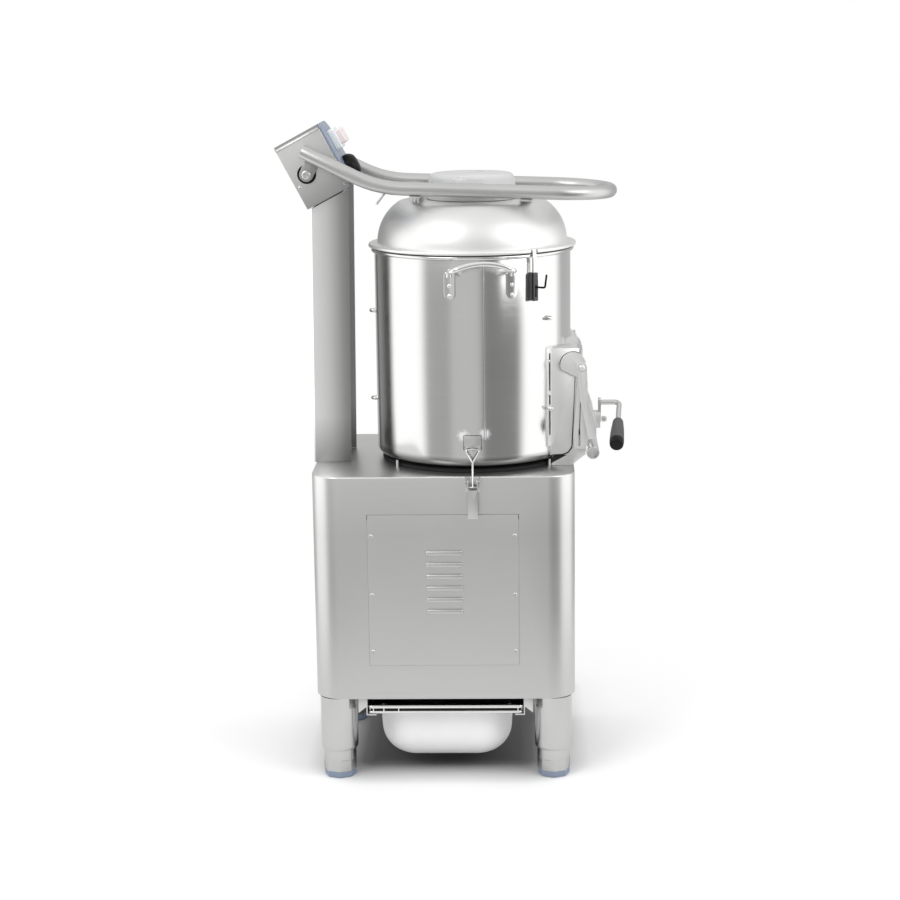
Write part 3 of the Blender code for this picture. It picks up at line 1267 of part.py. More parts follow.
def head_frame():
    """The tilted frame of the control head: x out of its front, z up its face."""
    return (Matrix.Translation((HEAD_X, 0, HEAD_Z))
            @ Matrix.Rotation(radians_of(-HEAD_TILT), 4, "Y"))


def head_underside(x, clearance):
    """Height of the head's lower face above a point of the column."""
    tilt = radians_of(HEAD_TILT)
    foot = Vector((HEAD_X, HEAD_Z)) + Vector((math.sin(tilt), -math.cos(tilt))) * HEAD_LENGTH / 2
    return foot.y + (x - foot.x) * math.tan(tilt) - clearance / math.cos(tilt)


def slanted(outline, z_low, clearance):
    """A standing prism whose top follows the head's lower face."""
    return loft([level(outline, z_low),
                 [Vector((x, y, head_underside(x, clearance))) for x, y in outline]])


def make_column():
    """A folded channel that stands on the cabinet and carries the control head."""
    left, right, half, wall, bend = (COLUMN_LEFT, COLUMN_RIGHT, COLUMN_HALF_DEPTH,
                                     COLUMN_WALL, COLUMN_BEND)
    outer = [(right, -half)] + list(reversed(arc((left + bend, -half + bend), bend, 180, 270, 4)))
    outer += list(reversed(arc((left + bend, half - bend), bend, 90, 180, 4))) + [(right, half)]
    small = bend - wall
    inner = [(right, half - wall)]
    inner += arc((left + bend, half - bend), small, 90, 180, 4)
    inner += arc((left + bend, -half + bend), small, 180, 270, 4) + [(right, -half + wall)]
    channel = slanted(outer + inner, CABINET_TOP + GAP, GAP)
    piece("column_channel", channel, "cabinet", "brushed")

    inside = half - wall - GAP
    back = right - COLUMN_COVER_RECESS
    cover = [(back - wall, -inside), (back, -inside), (back, inside), (back - wall, inside)]
    piece("column_cover", slanted(cover, CABINET_TOP + GAP, GAP), "cabinet", "satin")


def head_loop(inset, x):
    outline = rounded_rectangle(HEAD_WIDTH - 2 * inset, HEAD_LENGTH - 2 * inset,
                                HEAD_CORNER - inset, 4)
    return [Vector((x, y, z)) for y, z in outline]


def make_head():
    """The control box with its bearing, front panel, switch, buttons and timer knob."""
    frame = head_frame()
    back, front = -HEAD_DEPTH / 2, HEAD_DEPTH / 2
    shell = loft([head_loop(SHEET, back), head_loop(0, back + SHEET), head_loop(0, front),
                  head_loop(SHEET, front), head_loop(SHEET, back + SHEET)])
    pivot = frame.inverted() @ Vector((PIVOT_X, 0, PIVOT_Z))
    recess = rod((pivot.x, -HEAD_WIDTH / 2 - OVERRUN, pivot.z),
                 (pivot.x, HEAD_WIDTH / 2 + OVERRUN, pivot.z), RECESS_RADIUS, SIDES_LARGE)
    piece("control_box", moved(carved(shell, recess), frame), "cabinet", "brushed")

    reach = HEAD_WIDTH / 2 - SHEET - GAP
    bearing = turned([(SHAFT_RADIUS + GAP, -reach), (RECESS_RADIUS + PLATE, -reach),
                      (RECESS_RADIUS + PLATE, reach), (SHAFT_RADIUS + GAP, reach)], ring=True)
    bearing.transform(Matrix.Translation((PIVOT_X, 0, PIVOT_Z))
                      @ Matrix.Rotation(radians_of(-90), 4, "X"))
    piece("lever_bearing", bearing, "cabinet", "black_plastic")

    seat = front + GAP
    panel = loft([head_loop(0, seat), head_loop(0, seat + FRONT_PANEL - SHEET / 2),
                  head_loop(SHEET / 2, seat + FRONT_PANEL)])
    stem_hole = rod((seat - OVERRUN, 0, KNOB_CENTRE), (seat + FRONT_PANEL + OVERRUN, 0,
                    KNOB_CENTRE), TIMER_STEM + GAP)
    piece("control_panel", moved(carved(panel, stem_hole), frame), "cabinet", "panel_film")

    make_switch(frame, seat + FRONT_PANEL + GAP)
    make_knob(frame, seat)


def head_block(x_low, x_high, y_centre, width, z_centre, length, corner, crown=0.0):
    """A rounded block standing on the control panel."""
    outline = rounded_rectangle(width, length, corner, 3)
    loops = [[Vector((x_low, y_centre + y, z_centre + z)) for y, z in outline],
             [Vector((x_high - crown, y_centre + y, z_centre + z)) for y, z in outline]]
    if crown:
        small = rounded_rectangle(width - 2 * crown, length - 2 * crown, corner - crown / 2, 3)
        loops.append([Vector((x_high, y_centre + y, z_centre + z)) for y, z in small])
    return loft(loops)


def make_switch(frame, seat):
    """A white switch block with a stop and a start button side by side."""
    top = seat + SWITCH_BASE
    base = head_block(seat, top, 0, SWITCH_WIDTH, SWITCH_CENTRE, SWITCH_LENGTH, SWITCH_CORNER,
                      SWITCH_CORNER / 2)
    wells = []
    pitch = SWITCH_WIDTH / 4
    for side in (-1, 1):
        wells.append(head_block(top - BUTTON_TRAVEL - BUTTON_EDGE, top + OVERRUN, side * pitch,
                                BUTTON_WIDTH + 2 * GAP, SWITCH_CENTRE, BUTTON_LENGTH + 2 * GAP,
                                SWITCH_CORNER))
    piece("switch_block", moved(carved(base, *wells), frame), "cabinet", "white_plastic")
    for name, side, finish in (("stop_button", -1, "red_button"),
                               ("start_button", 1, "green_button")):
        bottom = top - BUTTON_EDGE + GAP
        origin = frame @ Vector((bottom, side * pitch, SWITCH_CENTRE))
        body(name, origin, "cabinet")
        cap = head_block(bottom, bottom + BUTTON_HEIGHT + BUTTON_EDGE, side * pitch,
                         BUTTON_WIDTH, SWITCH_CENTRE, BUTTON_LENGTH, SWITCH_CORNER, BUTTON_EDGE)
        piece(name, moved(cap, frame), name, finish)


def make_knob(frame, panel_back):
    """A black timer knob with a grip ridge, on a stem through the panel."""
    seat = panel_back + FRONT_PANEL + GAP
    body("timer_knob", frame @ Vector((seat, 0, KNOB_CENTRE)), "cabinet")
    profile = [(KNOB_RADIUS, 0), (KNOB_RADIUS, KNOB_HEIGHT * 0.25),
               (KNOB_RADIUS * 0.93, KNOB_HEIGHT * 0.6), (KNOB_TOP_RADIUS, KNOB_HEIGHT * 0.92),
               (KNOB_TOP_RADIUS * 0.5, KNOB_HEIGHT)]
    dial = turned(profile, sides=SIDES_MEDIUM)
    grips = [turned([(KNOB_RIDGE, KNOB_HEIGHT * 0.3), (KNOB_RIDGE, KNOB_HEIGHT + OVERRUN)],
                    (KNOB_RADIUS * 1.12 * math.cos(radians_of(a)),
                     KNOB_RADIUS * 1.12 * math.sin(radians_of(a))), SIDES_SMALL)
             for a in range(0, 360, 45)]
    stem = turned([(TIMER_STEM, -FRONT_PANEL), (TIMER_STEM, KNOB_HEIGHT / 2)],
                  sides=SIDES_SMALL)
    knob = joined(carved(dial, *grips), stem)
    turn = Matrix.Translation((seat, 0, KNOB_CENTRE)) @ Matrix.Rotation(radians_of(90), 4, "Y")
    piece("timer_knob", moved(moved(knob, turn), frame), "timer_knob", "black_plastic")


# Discharge chute

def chute_outline(inset, back):
    """The chute's side view between the drum and its slanted mouth."""
    low, high = CHUTE_BOTTOM + inset, CHUTE_TOP - inset
    slope = (CHUTE_MOUTH_TOP_X - CHUTE_MOUTH_BOTTOM_X) / (CHUTE_TOP - CHUTE_BOTTOM)

    def mouth(z):
        return CHUTE_MOUTH_BOTTOM_X + slope * (z - CHUTE_BOTTOM)

    radius = CHUTE_CORNER
    corner = arc((mouth(low + radius) - radius, low + radius), radius, -90, 0, 5)
    return [(back, high), (back, low)] + corner + [(mouth(high), high)]


def drum_cutter(clearance):
    """The drum's outside, a little larger, for fitting pieces to it."""
    radius = DRUM_RADIUS + clearance
    return turned([(radius, CABINET_TOP - OVERRUN), (radius, DRUM_TOP + OVERRUN)],
                  (DRUM_X, 0), SIDES_DRUM)


def wing_with_bolts(side):
    """The part of the chute's band beside one cheek, solid to the drum's middle."""
    half = CHUTE_HALF_WIDTH
    low, high = sorted((side * (half - CHUTE_WALL * 0.7), side * (half + FLANGE_BAND)))
    slab = block((DRUM_X + GAP, low, CHUTE_BOTTOM + CHUTE_CORNER),
                 (DRUM_X + DRUM_RADIUS * 2, high, CHUTE_TOP + FLANGE_BAND / 4))
    wing = carved(drum_cutter(GAP + FLANGE_THICKNESS), slab, operation="INTERSECT")
    angle = 90 + side * math.degrees(math.asin((half + FLANGE_BAND / 2) / DRUM_RADIUS))
    bolts = []
    for z in CHUTE_BOLT_HEIGHTS:
        seat = (0, -(DRUM_RADIUS + GAP + FLANGE_THICKNESS / 2), z)
        head = dome_head(SCREW_HEAD_RADIUS, SCREW_HEAD_HEIGHT + FLANGE_THICKNESS / 2, seat,
                         (0, -1, 0))
        bolts.append(moved(head, round_drum(angle)))
    nut = cap_nut(NUT_RADIUS, NUT_HEIGHT, (0, -(DRUM_RADIUS + FLANGE_THICKNESS),
                                           DRUM_BOLT_HEIGHTS[1]), (0, -1, 0))
    bolts.append(moved(nut, round_drum(90 + side * band_angle())))
    return joined(wing, *bolts)


def make_chute():
    """A welded chute: two cheeks, a roof, and a bolted band on the drum at each side."""
    half = CHUTE_HALF_WIDTH
    back = DRUM_X + DRUM_RADIUS / 2
    cheeks = []
    for side in (-1, 1):
        low, high = sorted((side * half, side * (half - CHUTE_WALL)))
        cheeks.append(upright(chute_outline(0, back), low, high))
    inside = half - CHUTE_WALL / 2
    roof = block((back, -inside, CHUTE_TOP - CHUTE_WALL),
                 (CHUTE_MOUTH_TOP_X - CHUTE_WALL, inside, CHUTE_TOP - GAP))
    ridge = upright([(back, CHUTE_TOP - CHUTE_WALL / 2),
                     (CHUTE_MOUTH_TOP_X, CHUTE_TOP - CHUTE_WALL / 2),
                     (CHUTE_MOUTH_TOP_X, CHUTE_TOP), (CHUTE_RIDGE_X, CHUTE_RIDGE_Z),
                     (back, CHUTE_RIDGE_Z)], -CHUTE_RIDGE_HALF, CHUTE_RIDGE_HALF)
    wings = [wing_with_bolts(side) for side in (-1, 1)]
    frame = joined(cheeks[0], roof, cheeks[1], ridge, *wings)
    piece("discharge_chute", carved(frame, drum_cutter(GAP)), "cabinet", "brushed")


def bracket_plane():
    """Inner face of the hinge brackets, just outside the chute's cheeks."""
    return CHUTE_HALF_WIDTH + GAP


def yoke_plane():
    return bracket_plane() + BRACKET_THICKNESS + GAP


def hinge_bolt(side):
    """The bolt that the door's yoke turns on."""
    start = bracket_plane() + BRACKET_THICKNESS / 2
    end = yoke_plane() + YOKE_THICKNESS + GAP
    shank = rod((DOOR_PIVOT_X, side * start, DOOR_PIVOT_Z),
                (DOOR_PIVOT_X, side * (end + BOLT_HEAD_HEIGHT / 2), DOOR_PIVOT_Z),
                HINGE_BOLT_RADIUS, SIDES_MEDIUM)
    seat = Vector((DOOR_PIVOT_X, side * end, DOOR_PIVOT_Z))
    return joined(shank, dome_head(HINGE_BOLT_RADIUS * 1.5, BOLT_HEAD_HEIGHT, seat, (0, side, 0)))


def make_door_brackets():
    """Two side plates beside the cheeks, with the hinge bolts at their round tops."""
    lug = arc((BRACKET_LUG_X, BRACKET_LUG_Z), BRACKET_LUG_RADIUS, 0, 200, 12)
    outline = [(BRACKET_RIGHT, BRACKET_BOTTOM)] + lug
    outline += [(CHUTE_MOUTH_TOP_X - PLATE, BRACKET_LUG_Z - BRACKET_LUG_RADIUS),
                (CHUTE_MOUTH_BOTTOM_X + PLATE / 2, BRACKET_BOTTOM + CHUTE_CORNER),
                (CHUTE_MOUTH_BOTTOM_X + PLATE, BRACKET_BOTTOM)]
    for name, side in (("front", -1), ("rear", 1)):
        low, high = sorted((side * bracket_plane(), side * (bracket_plane() + BRACKET_THICKNESS)))
        plate = upright(outline, low, high)
        slot_x = BRACKET_RIGHT - YOKE_WIDTH * 0.85
        slot = block((slot_x - PLATE / 2, low - OVERRUN, BRACKET_BOTTOM + PLATE * 1.5),
                     (slot_x + PLATE / 2, high + OVERRUN, BRACKET_BOTTOM + CHUTE_CORNER * 2))
        piece(f"door_bracket_{name}", joined(carved(plate, slot), hinge_bolt(side)), "cabinet",
              "brushed")


def make_spout():
    """A tray between the cheeks whose sides stand on the cabinet and whose floor slopes."""
    half = CHUTE_HALF_WIDTH - CHUTE_WALL - GAP
    base = CABINET_TOP + GAP
    side_view = [(SPOUT_BASE_LEFT_X, base), (SPOUT_BASE_RIGHT_X, base),
                 (SPOUT_LIP_X, CHUTE_BOTTOM), (SPOUT_LIP_X, SPOUT_FLOOR_Z + CHUTE_CORNER * 2),
                 (SPOUT_LEFT_X, SPOUT_FLOOR_Z + CHUTE_CORNER * 2),
                 (SPOUT_LEFT_X, CHUTE_BOTTOM)]
    sides = []
    for side in (-1, 1):
        low, high = sorted((side * half, side * (half - SHEET)))
        sides.append(upright(side_view, low, high))
    floor = upright([(SPOUT_LEFT_X, SPOUT_FLOOR_Z + SHEET * 2), (SPOUT_LEFT_X, SPOUT_FLOOR_Z),
                     (SPOUT_LIP_X, CHUTE_BOTTOM - SHEET), (SPOUT_LIP_X, CHUTE_BOTTOM + SHEET)],
                    -half, half)
    tray = carved(sides[0], floor, sides[1], operation="UNION")
    piece("discharge_spout", carved(tray, drum_cutter(GAP)), "cabinet", "satin")


def make_door():
    """The door plate with its curled lower edge and dished boss, hung on a yoke."""
    body("door", (DOOR_PIVOT_X, 0.0, DOOR_PIVOT_Z), "cabinet")
    height = DOOR_TOP - DOOR_BOTTOM
    outline = rounded_rectangle(2 * DOOR_HALF_WIDTH, height, DOOR_CORNER, 4)
    middle = (DOOR_TOP + DOOR_BOTTOM) / 2
    plate = loft([[Vector((x, y, middle + z)) for y, z in outline]
                  for x in (DOOR_X, DOOR_X + SHEET * 2)])
    centre = Vector((DOOR_X + SHEET * 2, 0, YOKE_BAR_Z))
    dish = turned([(DISH_RADIUS, -SHEET), (DISH_RADIUS, 0), (DISH_RADIUS * 0.8, DISH_DEPTH * 0.6),
                   (DISH_RADIUS * 0.5, DISH_DEPTH)], sides=SIDES_MEDIUM)
    dish.transform(Matrix.Translation(centre) @ Matrix.Rotation(radians_of(90), 4, "Y"))
    curl_z = DOOR_BOTTOM - DOOR_CURL_RADIUS + SHEET * 2
    curl_x = DOOR_X + SHEET + DOOR_CURL_RADIUS
    half = DOOR_HALF_WIDTH - DOOR_CORNER
    curl = rod((curl_x, -half, curl_z + DOOR_CURL_RADIUS / 2),
               (curl_x, half, curl_z + DOOR_CURL_RADIUS / 2), DOOR_CURL_RADIUS, SIDES_MEDIUM)
    plate = carved(plate, dish, curl, operation="UNION")
    bore = rod((curl_x, -half - OVERRUN, curl_z + DOOR_CURL_RADIUS / 2),
               (curl_x, half + OVERRUN, curl_z + DOOR_CURL_RADIUS / 2),
               DOOR_CURL_RADIUS - SHEET * 1.5, SIDES_MEDIUM)
    piece("door_panel", carved(plate, bore), "door", "polished")

    arms = []
    for side in (-1, 1):
        low, high = sorted((side * yoke_plane(), side * (yoke_plane() + YOKE_THICKNESS)))
        arm = upright(yoke_outline(), low, high)
        bmesh.ops.recalc_face_normals(arm, faces=arm.faces)
        hole = rod((DOOR_PIVOT_X, low - OVERRUN, DOOR_PIVOT_Z),
                   (DOOR_PIVOT_X, high + OVERRUN, DOOR_PIVOT_Z), HINGE_BOLT_RADIUS + GAP,
                   SIDES_MEDIUM)
        arms.append(carved(arm, hole))
    reach = yoke_plane() + YOKE_THICKNESS / 2
    bar = block((YOKE_BAR_X - PLATE / 2, -reach, YOKE_BAR_Z - YOKE_BAR_HEIGHT / 2),
                (YOKE_BAR_X + PLATE / 2, reach, YOKE_BAR_Z + YOKE_BAR_HEIGHT / 2))
    block_half = BLOCK_LENGTH / 2
    boss = block((YOKE_BAR_X, -block_half, YOKE_BAR_Z - YOKE_BAR_HEIGHT / 2),
                 (YOKE_BAR_X + BLOCK_DEPTH, block_half, YOKE_BAR_Z + YOKE_BAR_HEIGHT / 2))
    yoke = carved(arms[0], bar, arms[1], boss, operation="UNION")
    thread = rod((YOKE_BAR_X - OVERRUN, 0, YOKE_BAR_Z), (YOKE_BAR_X + BLOCK_DEPTH + OVERRUN, 0,
                 YOKE_BAR_Z), SPINDLE_SCREW_RADIUS + GAP, SIDES_MEDIUM)
    piece("door_yoke", carved(yoke, thread), "door", "brushed")


def yoke_outline():
    """One arm of the yoke: round at the hinge, straight down, then out to the bar."""
    right = DOOR_PIVOT_X + YOKE_LUG_RADIUS
    left = right - YOKE_WIDTH
    low = YOKE_BAR_Z - YOKE_BAR_HEIGHT / 2
    high = YOKE_BAR_Z + YOKE_BAR_HEIGHT / 2
    outer = YOKE_BAR_X + PLATE / 2
    outline = arc((DOOR_PIVOT_X, DOOR_PIVOT_Z), YOKE_LUG_RADIUS, 0, 180, 8)
    outline += [(left, YOKE_ELBOW_Z), (outer - YOKE_WIDTH, low), (outer, low), (outer, high),
                (right, YOKE_ELBOW_Z)]
    return outline


def make_crank():
    """The clamp screw's crank: an arm, a bent rod and a tapered grip."""
    arm_x = YOKE_BAR_X + BLOCK_DEPTH + 2 * GAP
    body("crank", (arm_x, 0.0, YOKE_BAR_Z), "door")
    screw = rod((YOKE_BAR_X - PLATE / 2, 0, YOKE_BAR_Z),
                (arm_x + CRANK_ARM_THICKNESS / 2, 0, YOKE_BAR_Z), SPINDLE_SCREW_RADIUS,
                SIDES_MEDIUM)
    half = CRANK_ARM_WIDTH / 2
    outline = arc((0, YOKE_BAR_Z), half, 180, 360, 6)
    outline += arc((0, YOKE_BAR_Z + CRANK_ARM), half, 0, 180, 6)
    arm = loft([[Vector((x, y, z)) for y, z in outline]
                for x in (arm_x, arm_x + CRANK_ARM_THICKNESS)])
    nut = rod((arm_x + CRANK_ARM_THICKNESS / 2, 0, YOKE_BAR_Z),
              (arm_x + CRANK_ARM_THICKNESS + NUT_RADIUS, 0, YOKE_BAR_Z), NUT_RADIUS * 1.2, 6)
    top = YOKE_BAR_Z + CRANK_ARM
    drop, swing = radians_of(CRANK_DROP), radians_of(CRANK_SWING)
    along = Vector((-math.sin(swing) * math.cos(drop), -math.cos(swing) * math.cos(drop),
                    -math.sin(drop)))
    elbow = Vector((CRANK_ELBOW_X, 0, top))
    end = elbow + along * (CRANK_ROD_LENGTH + GRIP_ROOT_RADIUS)
    route = path_points([Vector((arm_x + CRANK_ARM_THICKNESS / 2, 0, top)), elbow, end],
                        [CRANK_BEND], 6)
    bent = swept(route, CRANK_ROD, SIDES_SMALL)
    crank = carved(arm, screw, nut, bent, operation="UNION")
    piece("crank_handle", crank, "crank", "polished")

    start = elbow + along * CRANK_ROD_LENGTH
    profile = [(GRIP_ROOT_RADIUS * 0.7, 0), (GRIP_ROOT_RADIUS, GRIP_LENGTH * 0.06),
               (GRIP_ROOT_RADIUS + (GRIP_END_RADIUS - GRIP_ROOT_RADIUS) * 0.7,
                GRIP_LENGTH * 0.45), (GRIP_END_RADIUS, GRIP_LENGTH * 0.93),
               (GRIP_END_RADIUS * 0.9, GRIP_LENGTH)]
    grip = turned(profile)
    hole = turned([(CRANK_ROD + 2 * GAP, -OVERRUN),
                   (CRANK_ROD + 2 * GAP, GRIP_ROOT_RADIUS + 2 * GAP)])
    grip = carved(grip, hole)
    turn = Vector((0, 0, 1)).rotation_difference(along).to_matrix().to_4x4()
    piece("crank_grip", moved(grip, Matrix.Translation(start) @ turn), "crank",
          "black_plastic")


# Drive inside the machine

def pulley(radius, bore, centre, z):
    """A V-belt pulley with one groove."""
    low, high = z - PULLEY_THICKNESS / 2, z + PULLEY_THICKNESS / 2
    groove = BELT_WIDTH / 2 + GAP
    return turned([(bore, low), (radius, low), (radius, z - groove),
                   (radius - GROOVE_DEPTH, z - groove * 0.55),
                   (radius - GROOVE_DEPTH, z + groove * 0.55), (radius, z + groove),
                   (radius, high), (bore, high)], centre, SIDES_LARGE, ring=True)


def belt_route():
    """The belt's centre line: an open loop round both pulleys."""
    big = DRIVEN_PULLEY_RADIUS - BELT_THICKNESS / 2 + GAP
    small = MOTOR_PULLEY_RADIUS - BELT_THICKNESS / 2 + GAP
    reach = DRUM_X - MOTOR_X
    lean = math.degrees(math.asin((big - small) / reach))
    return (arc((DRUM_X, 0), big, -(90 + lean), 90 + lean, 24)
            + arc((MOTOR_X, 0), small, 90 + lean, 270 - lean, 12))


def make_drive():
    """The disc, its spindle and bearing, the belt drive and the motor."""
    body("disc", (DRUM_X, 0.0, DISC_BOTTOM), "cabinet")
    top = DISC_BOTTOM + DISC_THICKNESS
    disc = turned([(DISC_RADIUS - PLATE, DISC_BOTTOM), (DISC_RADIUS, DISC_BOTTOM + PLATE),
                   (DISC_RADIUS, top - PLATE), (DISC_RADIUS - PLATE, top),
                   (SPINDLE_RADIUS * 2, top + PLATE), (SPINDLE_RADIUS, top + 2 * PLATE)],
                  (DRUM_X, 0), SIDES_DRUM)
    ribs = []
    for turn in (0, 120, 240):
        rib = loft([[Vector((SPINDLE_RADIUS * 2.4, -DISC_RIB_WIDTH / 2, top - PLATE)),
                     Vector((SPINDLE_RADIUS * 2.4, DISC_RIB_WIDTH / 2, top - PLATE)),
                     Vector((SPINDLE_RADIUS * 2.4, 0, top + DISC_RIB_HEIGHT / 2))],
                    [Vector((DISC_RADIUS - 4 * PLATE, -DISC_RIB_WIDTH / 2, top - PLATE)),
                     Vector((DISC_RADIUS - 4 * PLATE, DISC_RIB_WIDTH / 2, top - PLATE)),
                     Vector((DISC_RADIUS - 4 * PLATE, 0, top + DISC_RIB_HEIGHT))]])
        ribs.append(moved(rib, round_drum(turn)))
    piece("abrasive_disc", carved(disc, *ribs, operation="UNION"), "disc", "abrasive")

    spindle = turned([(SPINDLE_RADIUS * 0.8, SPINDLE_BOTTOM), (SPINDLE_RADIUS, SPINDLE_BOTTOM
                      + PLATE), (SPINDLE_RADIUS, DISC_BOTTOM - GAP)], (DRUM_X, 0))
    piece("spindle", spindle, "disc", "polished")
    driven = pulley(DRIVEN_PULLEY_RADIUS, SPINDLE_RADIUS + GAP, (DRUM_X, 0), PULLEY_Z)
    piece("driven_pulley", driven, "disc", "cast_metal")

    bore = SPINDLE_RADIUS + GAP
    flange_top = CABINET_TOP - SHEET - GAP
    housing = turned([(bore, HOUSING_BOTTOM), (HOUSING_RADIUS * 0.85, HOUSING_BOTTOM),
                      (HOUSING_RADIUS, HOUSING_BOTTOM + PLATE),
                      (HOUSING_RADIUS, flange_top - 2 * PLATE),
                      (HOUSING_FLANGE_RADIUS, flange_top - 2 * PLATE),
                      (HOUSING_FLANGE_RADIUS, flange_top), (HOUSING_RADIUS, flange_top),
                      (HOUSING_RADIUS, DRUM_BOTTOM - GAP), (bore, DRUM_BOTTOM - GAP)],
                     (DRUM_X, 0), SIDES_LARGE, ring=True)
    piece("bearing_housing", housing, "cabinet", "cast_metal")

    belt_z = PULLEY_Z
    route = belt_route()
    wide = offset_loop(route, BELT_THICKNESS / 2)
    tight = offset_loop(route, -BELT_THICKNESS / 2)
    low, high = belt_z - BELT_WIDTH / 2, belt_z + BELT_WIDTH / 2
    slim = BELT_WIDTH * 0.26
    belt = loft([level(wide, low), level(wide, high), level(tight, belt_z + slim),
                 level(tight, belt_z - slim)], ring=True)
    piece("drive_belt", belt, "cabinet", "rubber")

    make_motor()
    waste = turned([(WASTE_RADIUS - WASTE_WALL, CABINET_BOTTOM - PLATE), (WASTE_RADIUS,
                    CABINET_BOTTOM - PLATE), (WASTE_RADIUS, DRUM_BOTTOM - GAP),
                    (WASTE_RADIUS - WASTE_WALL, DRUM_BOTTOM - GAP)], (DRUM_X, WASTE_Y),
                   SIDES_MEDIUM, ring=True)
    piece("waste_pipe", waste, "cabinet", "black_plastic")


def offset_loop(points, distance):
    """A closed outline moved outwards along its own normals."""
    moved_points = []
    count = len(points)
    for i in range(count):
        before, after = Vector(points[i - 1]), Vector(points[(i + 1) % count])
        run = (after - before).normalized()
        moved_points.append((points[i][0] + run.y * distance, points[i][1] - run.x * distance))
    return moved_points


def make_motor():
    """A ribbed motor hung below its plate, which four studs hold to the cabinet's top."""
    plate_low = MOTOR_TOP + GAP
    plate_high = plate_low + PLATE
    reach, half = MOTOR_PLATE_REACH, MOTOR_PLATE_HALF_DEPTH
    plate = block((MOTOR_X - reach, -half, plate_low), (MOTOR_X + reach, half, plate_high))
    hole = turned([(MOTOR_SHAFT_RADIUS * 1.6, plate_low - OVERRUN), (MOTOR_SHAFT_RADIUS * 1.6,
                   plate_high + OVERRUN)], (MOTOR_X, 0))
    studs = []
    inset = STUD_RADIUS * 2
    for x in (MOTOR_X - reach + inset, MOTOR_X + reach - inset):
        for y in (-half + inset, half - inset):
            studs.append(turned([(STUD_RADIUS, plate_low + PLATE / 2),
                                 (STUD_RADIUS, CABINET_TOP - SHEET - GAP)], (x, y), SIDES_SMALL))
    piece("motor_plate", carved(joined(plate, *studs), hole), "cabinet", "satin")

    fan_top = MOTOR_BOTTOM + MOTOR_RADIUS * 0.5
    profile = [(MOTOR_RADIUS * 0.8, MOTOR_BOTTOM), (MOTOR_RADIUS * 0.95, MOTOR_BOTTOM + PLATE),
               (MOTOR_RADIUS * 0.95, fan_top), (MOTOR_RADIUS * 0.88, fan_top + PLATE),
               (MOTOR_RADIUS * 0.88, MOTOR_TOP - MOTOR_RADIUS * 0.3),
               (MOTOR_RADIUS, MOTOR_TOP - MOTOR_RADIUS * 0.3), (MOTOR_RADIUS, MOTOR_TOP)]
    frame = turned(profile, (MOTOR_X, 0), SIDES_LARGE)
    ribs = []
    rib_low, rib_high = fan_top + 2 * PLATE, MOTOR_TOP - MOTOR_RADIUS * 0.3 - PLATE
    for i in range(MOTOR_RIBS):
        rib = block((MOTOR_RADIUS * 0.8, -PLATE / 2, rib_low), (MOTOR_RADIUS, PLATE / 2,
                    rib_high))
        angle = radians_of(i * 360 / MOTOR_RIBS)
        turn = Matrix.Translation((MOTOR_X, 0, 0)) @ Matrix.Rotation(angle, 4, "Z")
        ribs.append(moved(rib, turn))
    shaft_bore = turned([(MOTOR_SHAFT_RADIUS + GAP, MOTOR_TOP - MOTOR_RADIUS * 0.2),
                         (MOTOR_SHAFT_RADIUS + GAP, MOTOR_TOP + OVERRUN)], (MOTOR_X, 0))
    frame = joined(frame, gathered(*ribs))
    piece("motor", carved(frame, shaft_bore), "cabinet", "painted_motor")

    body("motor_rotor", (MOTOR_X, 0.0, PULLEY_Z), "cabinet")
    wheel = pulley(MOTOR_PULLEY_RADIUS, MOTOR_SHAFT_RADIUS * 0.9, (MOTOR_X, 0), PULLEY_Z)
    shaft = turned([(MOTOR_SHAFT_RADIUS, MOTOR_TOP - MOTOR_RADIUS * 0.2 + GAP),
                    (MOTOR_SHAFT_RADIUS, PULLEY_Z + PULLEY_THICKNESS / 2 + PLATE)],
                   (MOTOR_X, 0))
    piece("motor_pulley", joined(wheel, shaft), "motor_rotor", "cast_metal")


# Whole machine

def centre_on_origin():
    """Move the whole machine so that its overall box is centred over the origin."""
    bpy.context.view_layer.update()
    reach = [(thing.matrix_world @ Vector(corner)).x for thing in bpy.data.objects
             if thing.type == "MESH" for corner in thing.bound_box]
    BODIES["cabinet"].location.x = -(min(reach) + max(reach)) / 2


def main():
    for thing in list(bpy.data.objects):
        bpy.data.objects.remove(thing, do_unlink=True)
    body("cabinet")
    make_cabinet()
    make_service_panel()
    make_legs()
    make_rails()
    make_drawer()
    make_drum()
    make_side_handles()
    make_toggle_latches()
    make_lid_bolt()
    make_column()
    make_head()
    make_lever()
    make_pivot_shaft()
    make_lid_bars()
    make_lid()
    make_chute()
    make_door_brackets()
    make_spout()
    make_door()
    make_crank()
    make_drive()
    centre_on_origin()
    bpy.context.view_layer.update()


main()
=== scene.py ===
# %% [markdown]
# # An electric potato peeler
#
# The machine stands on four screw feet. A folded steel cabinet holds the motor, a steel drum on
# top holds the potatoes, and a domed lid hangs from a bent tube lever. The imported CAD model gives
# every place and every joint. This script gives each piece its rounded edges, its round surfaces
# and its finish.

# %% Load the frame
import json
import math

import bmesh
import bpy
from mathutils import Matrix, Vector


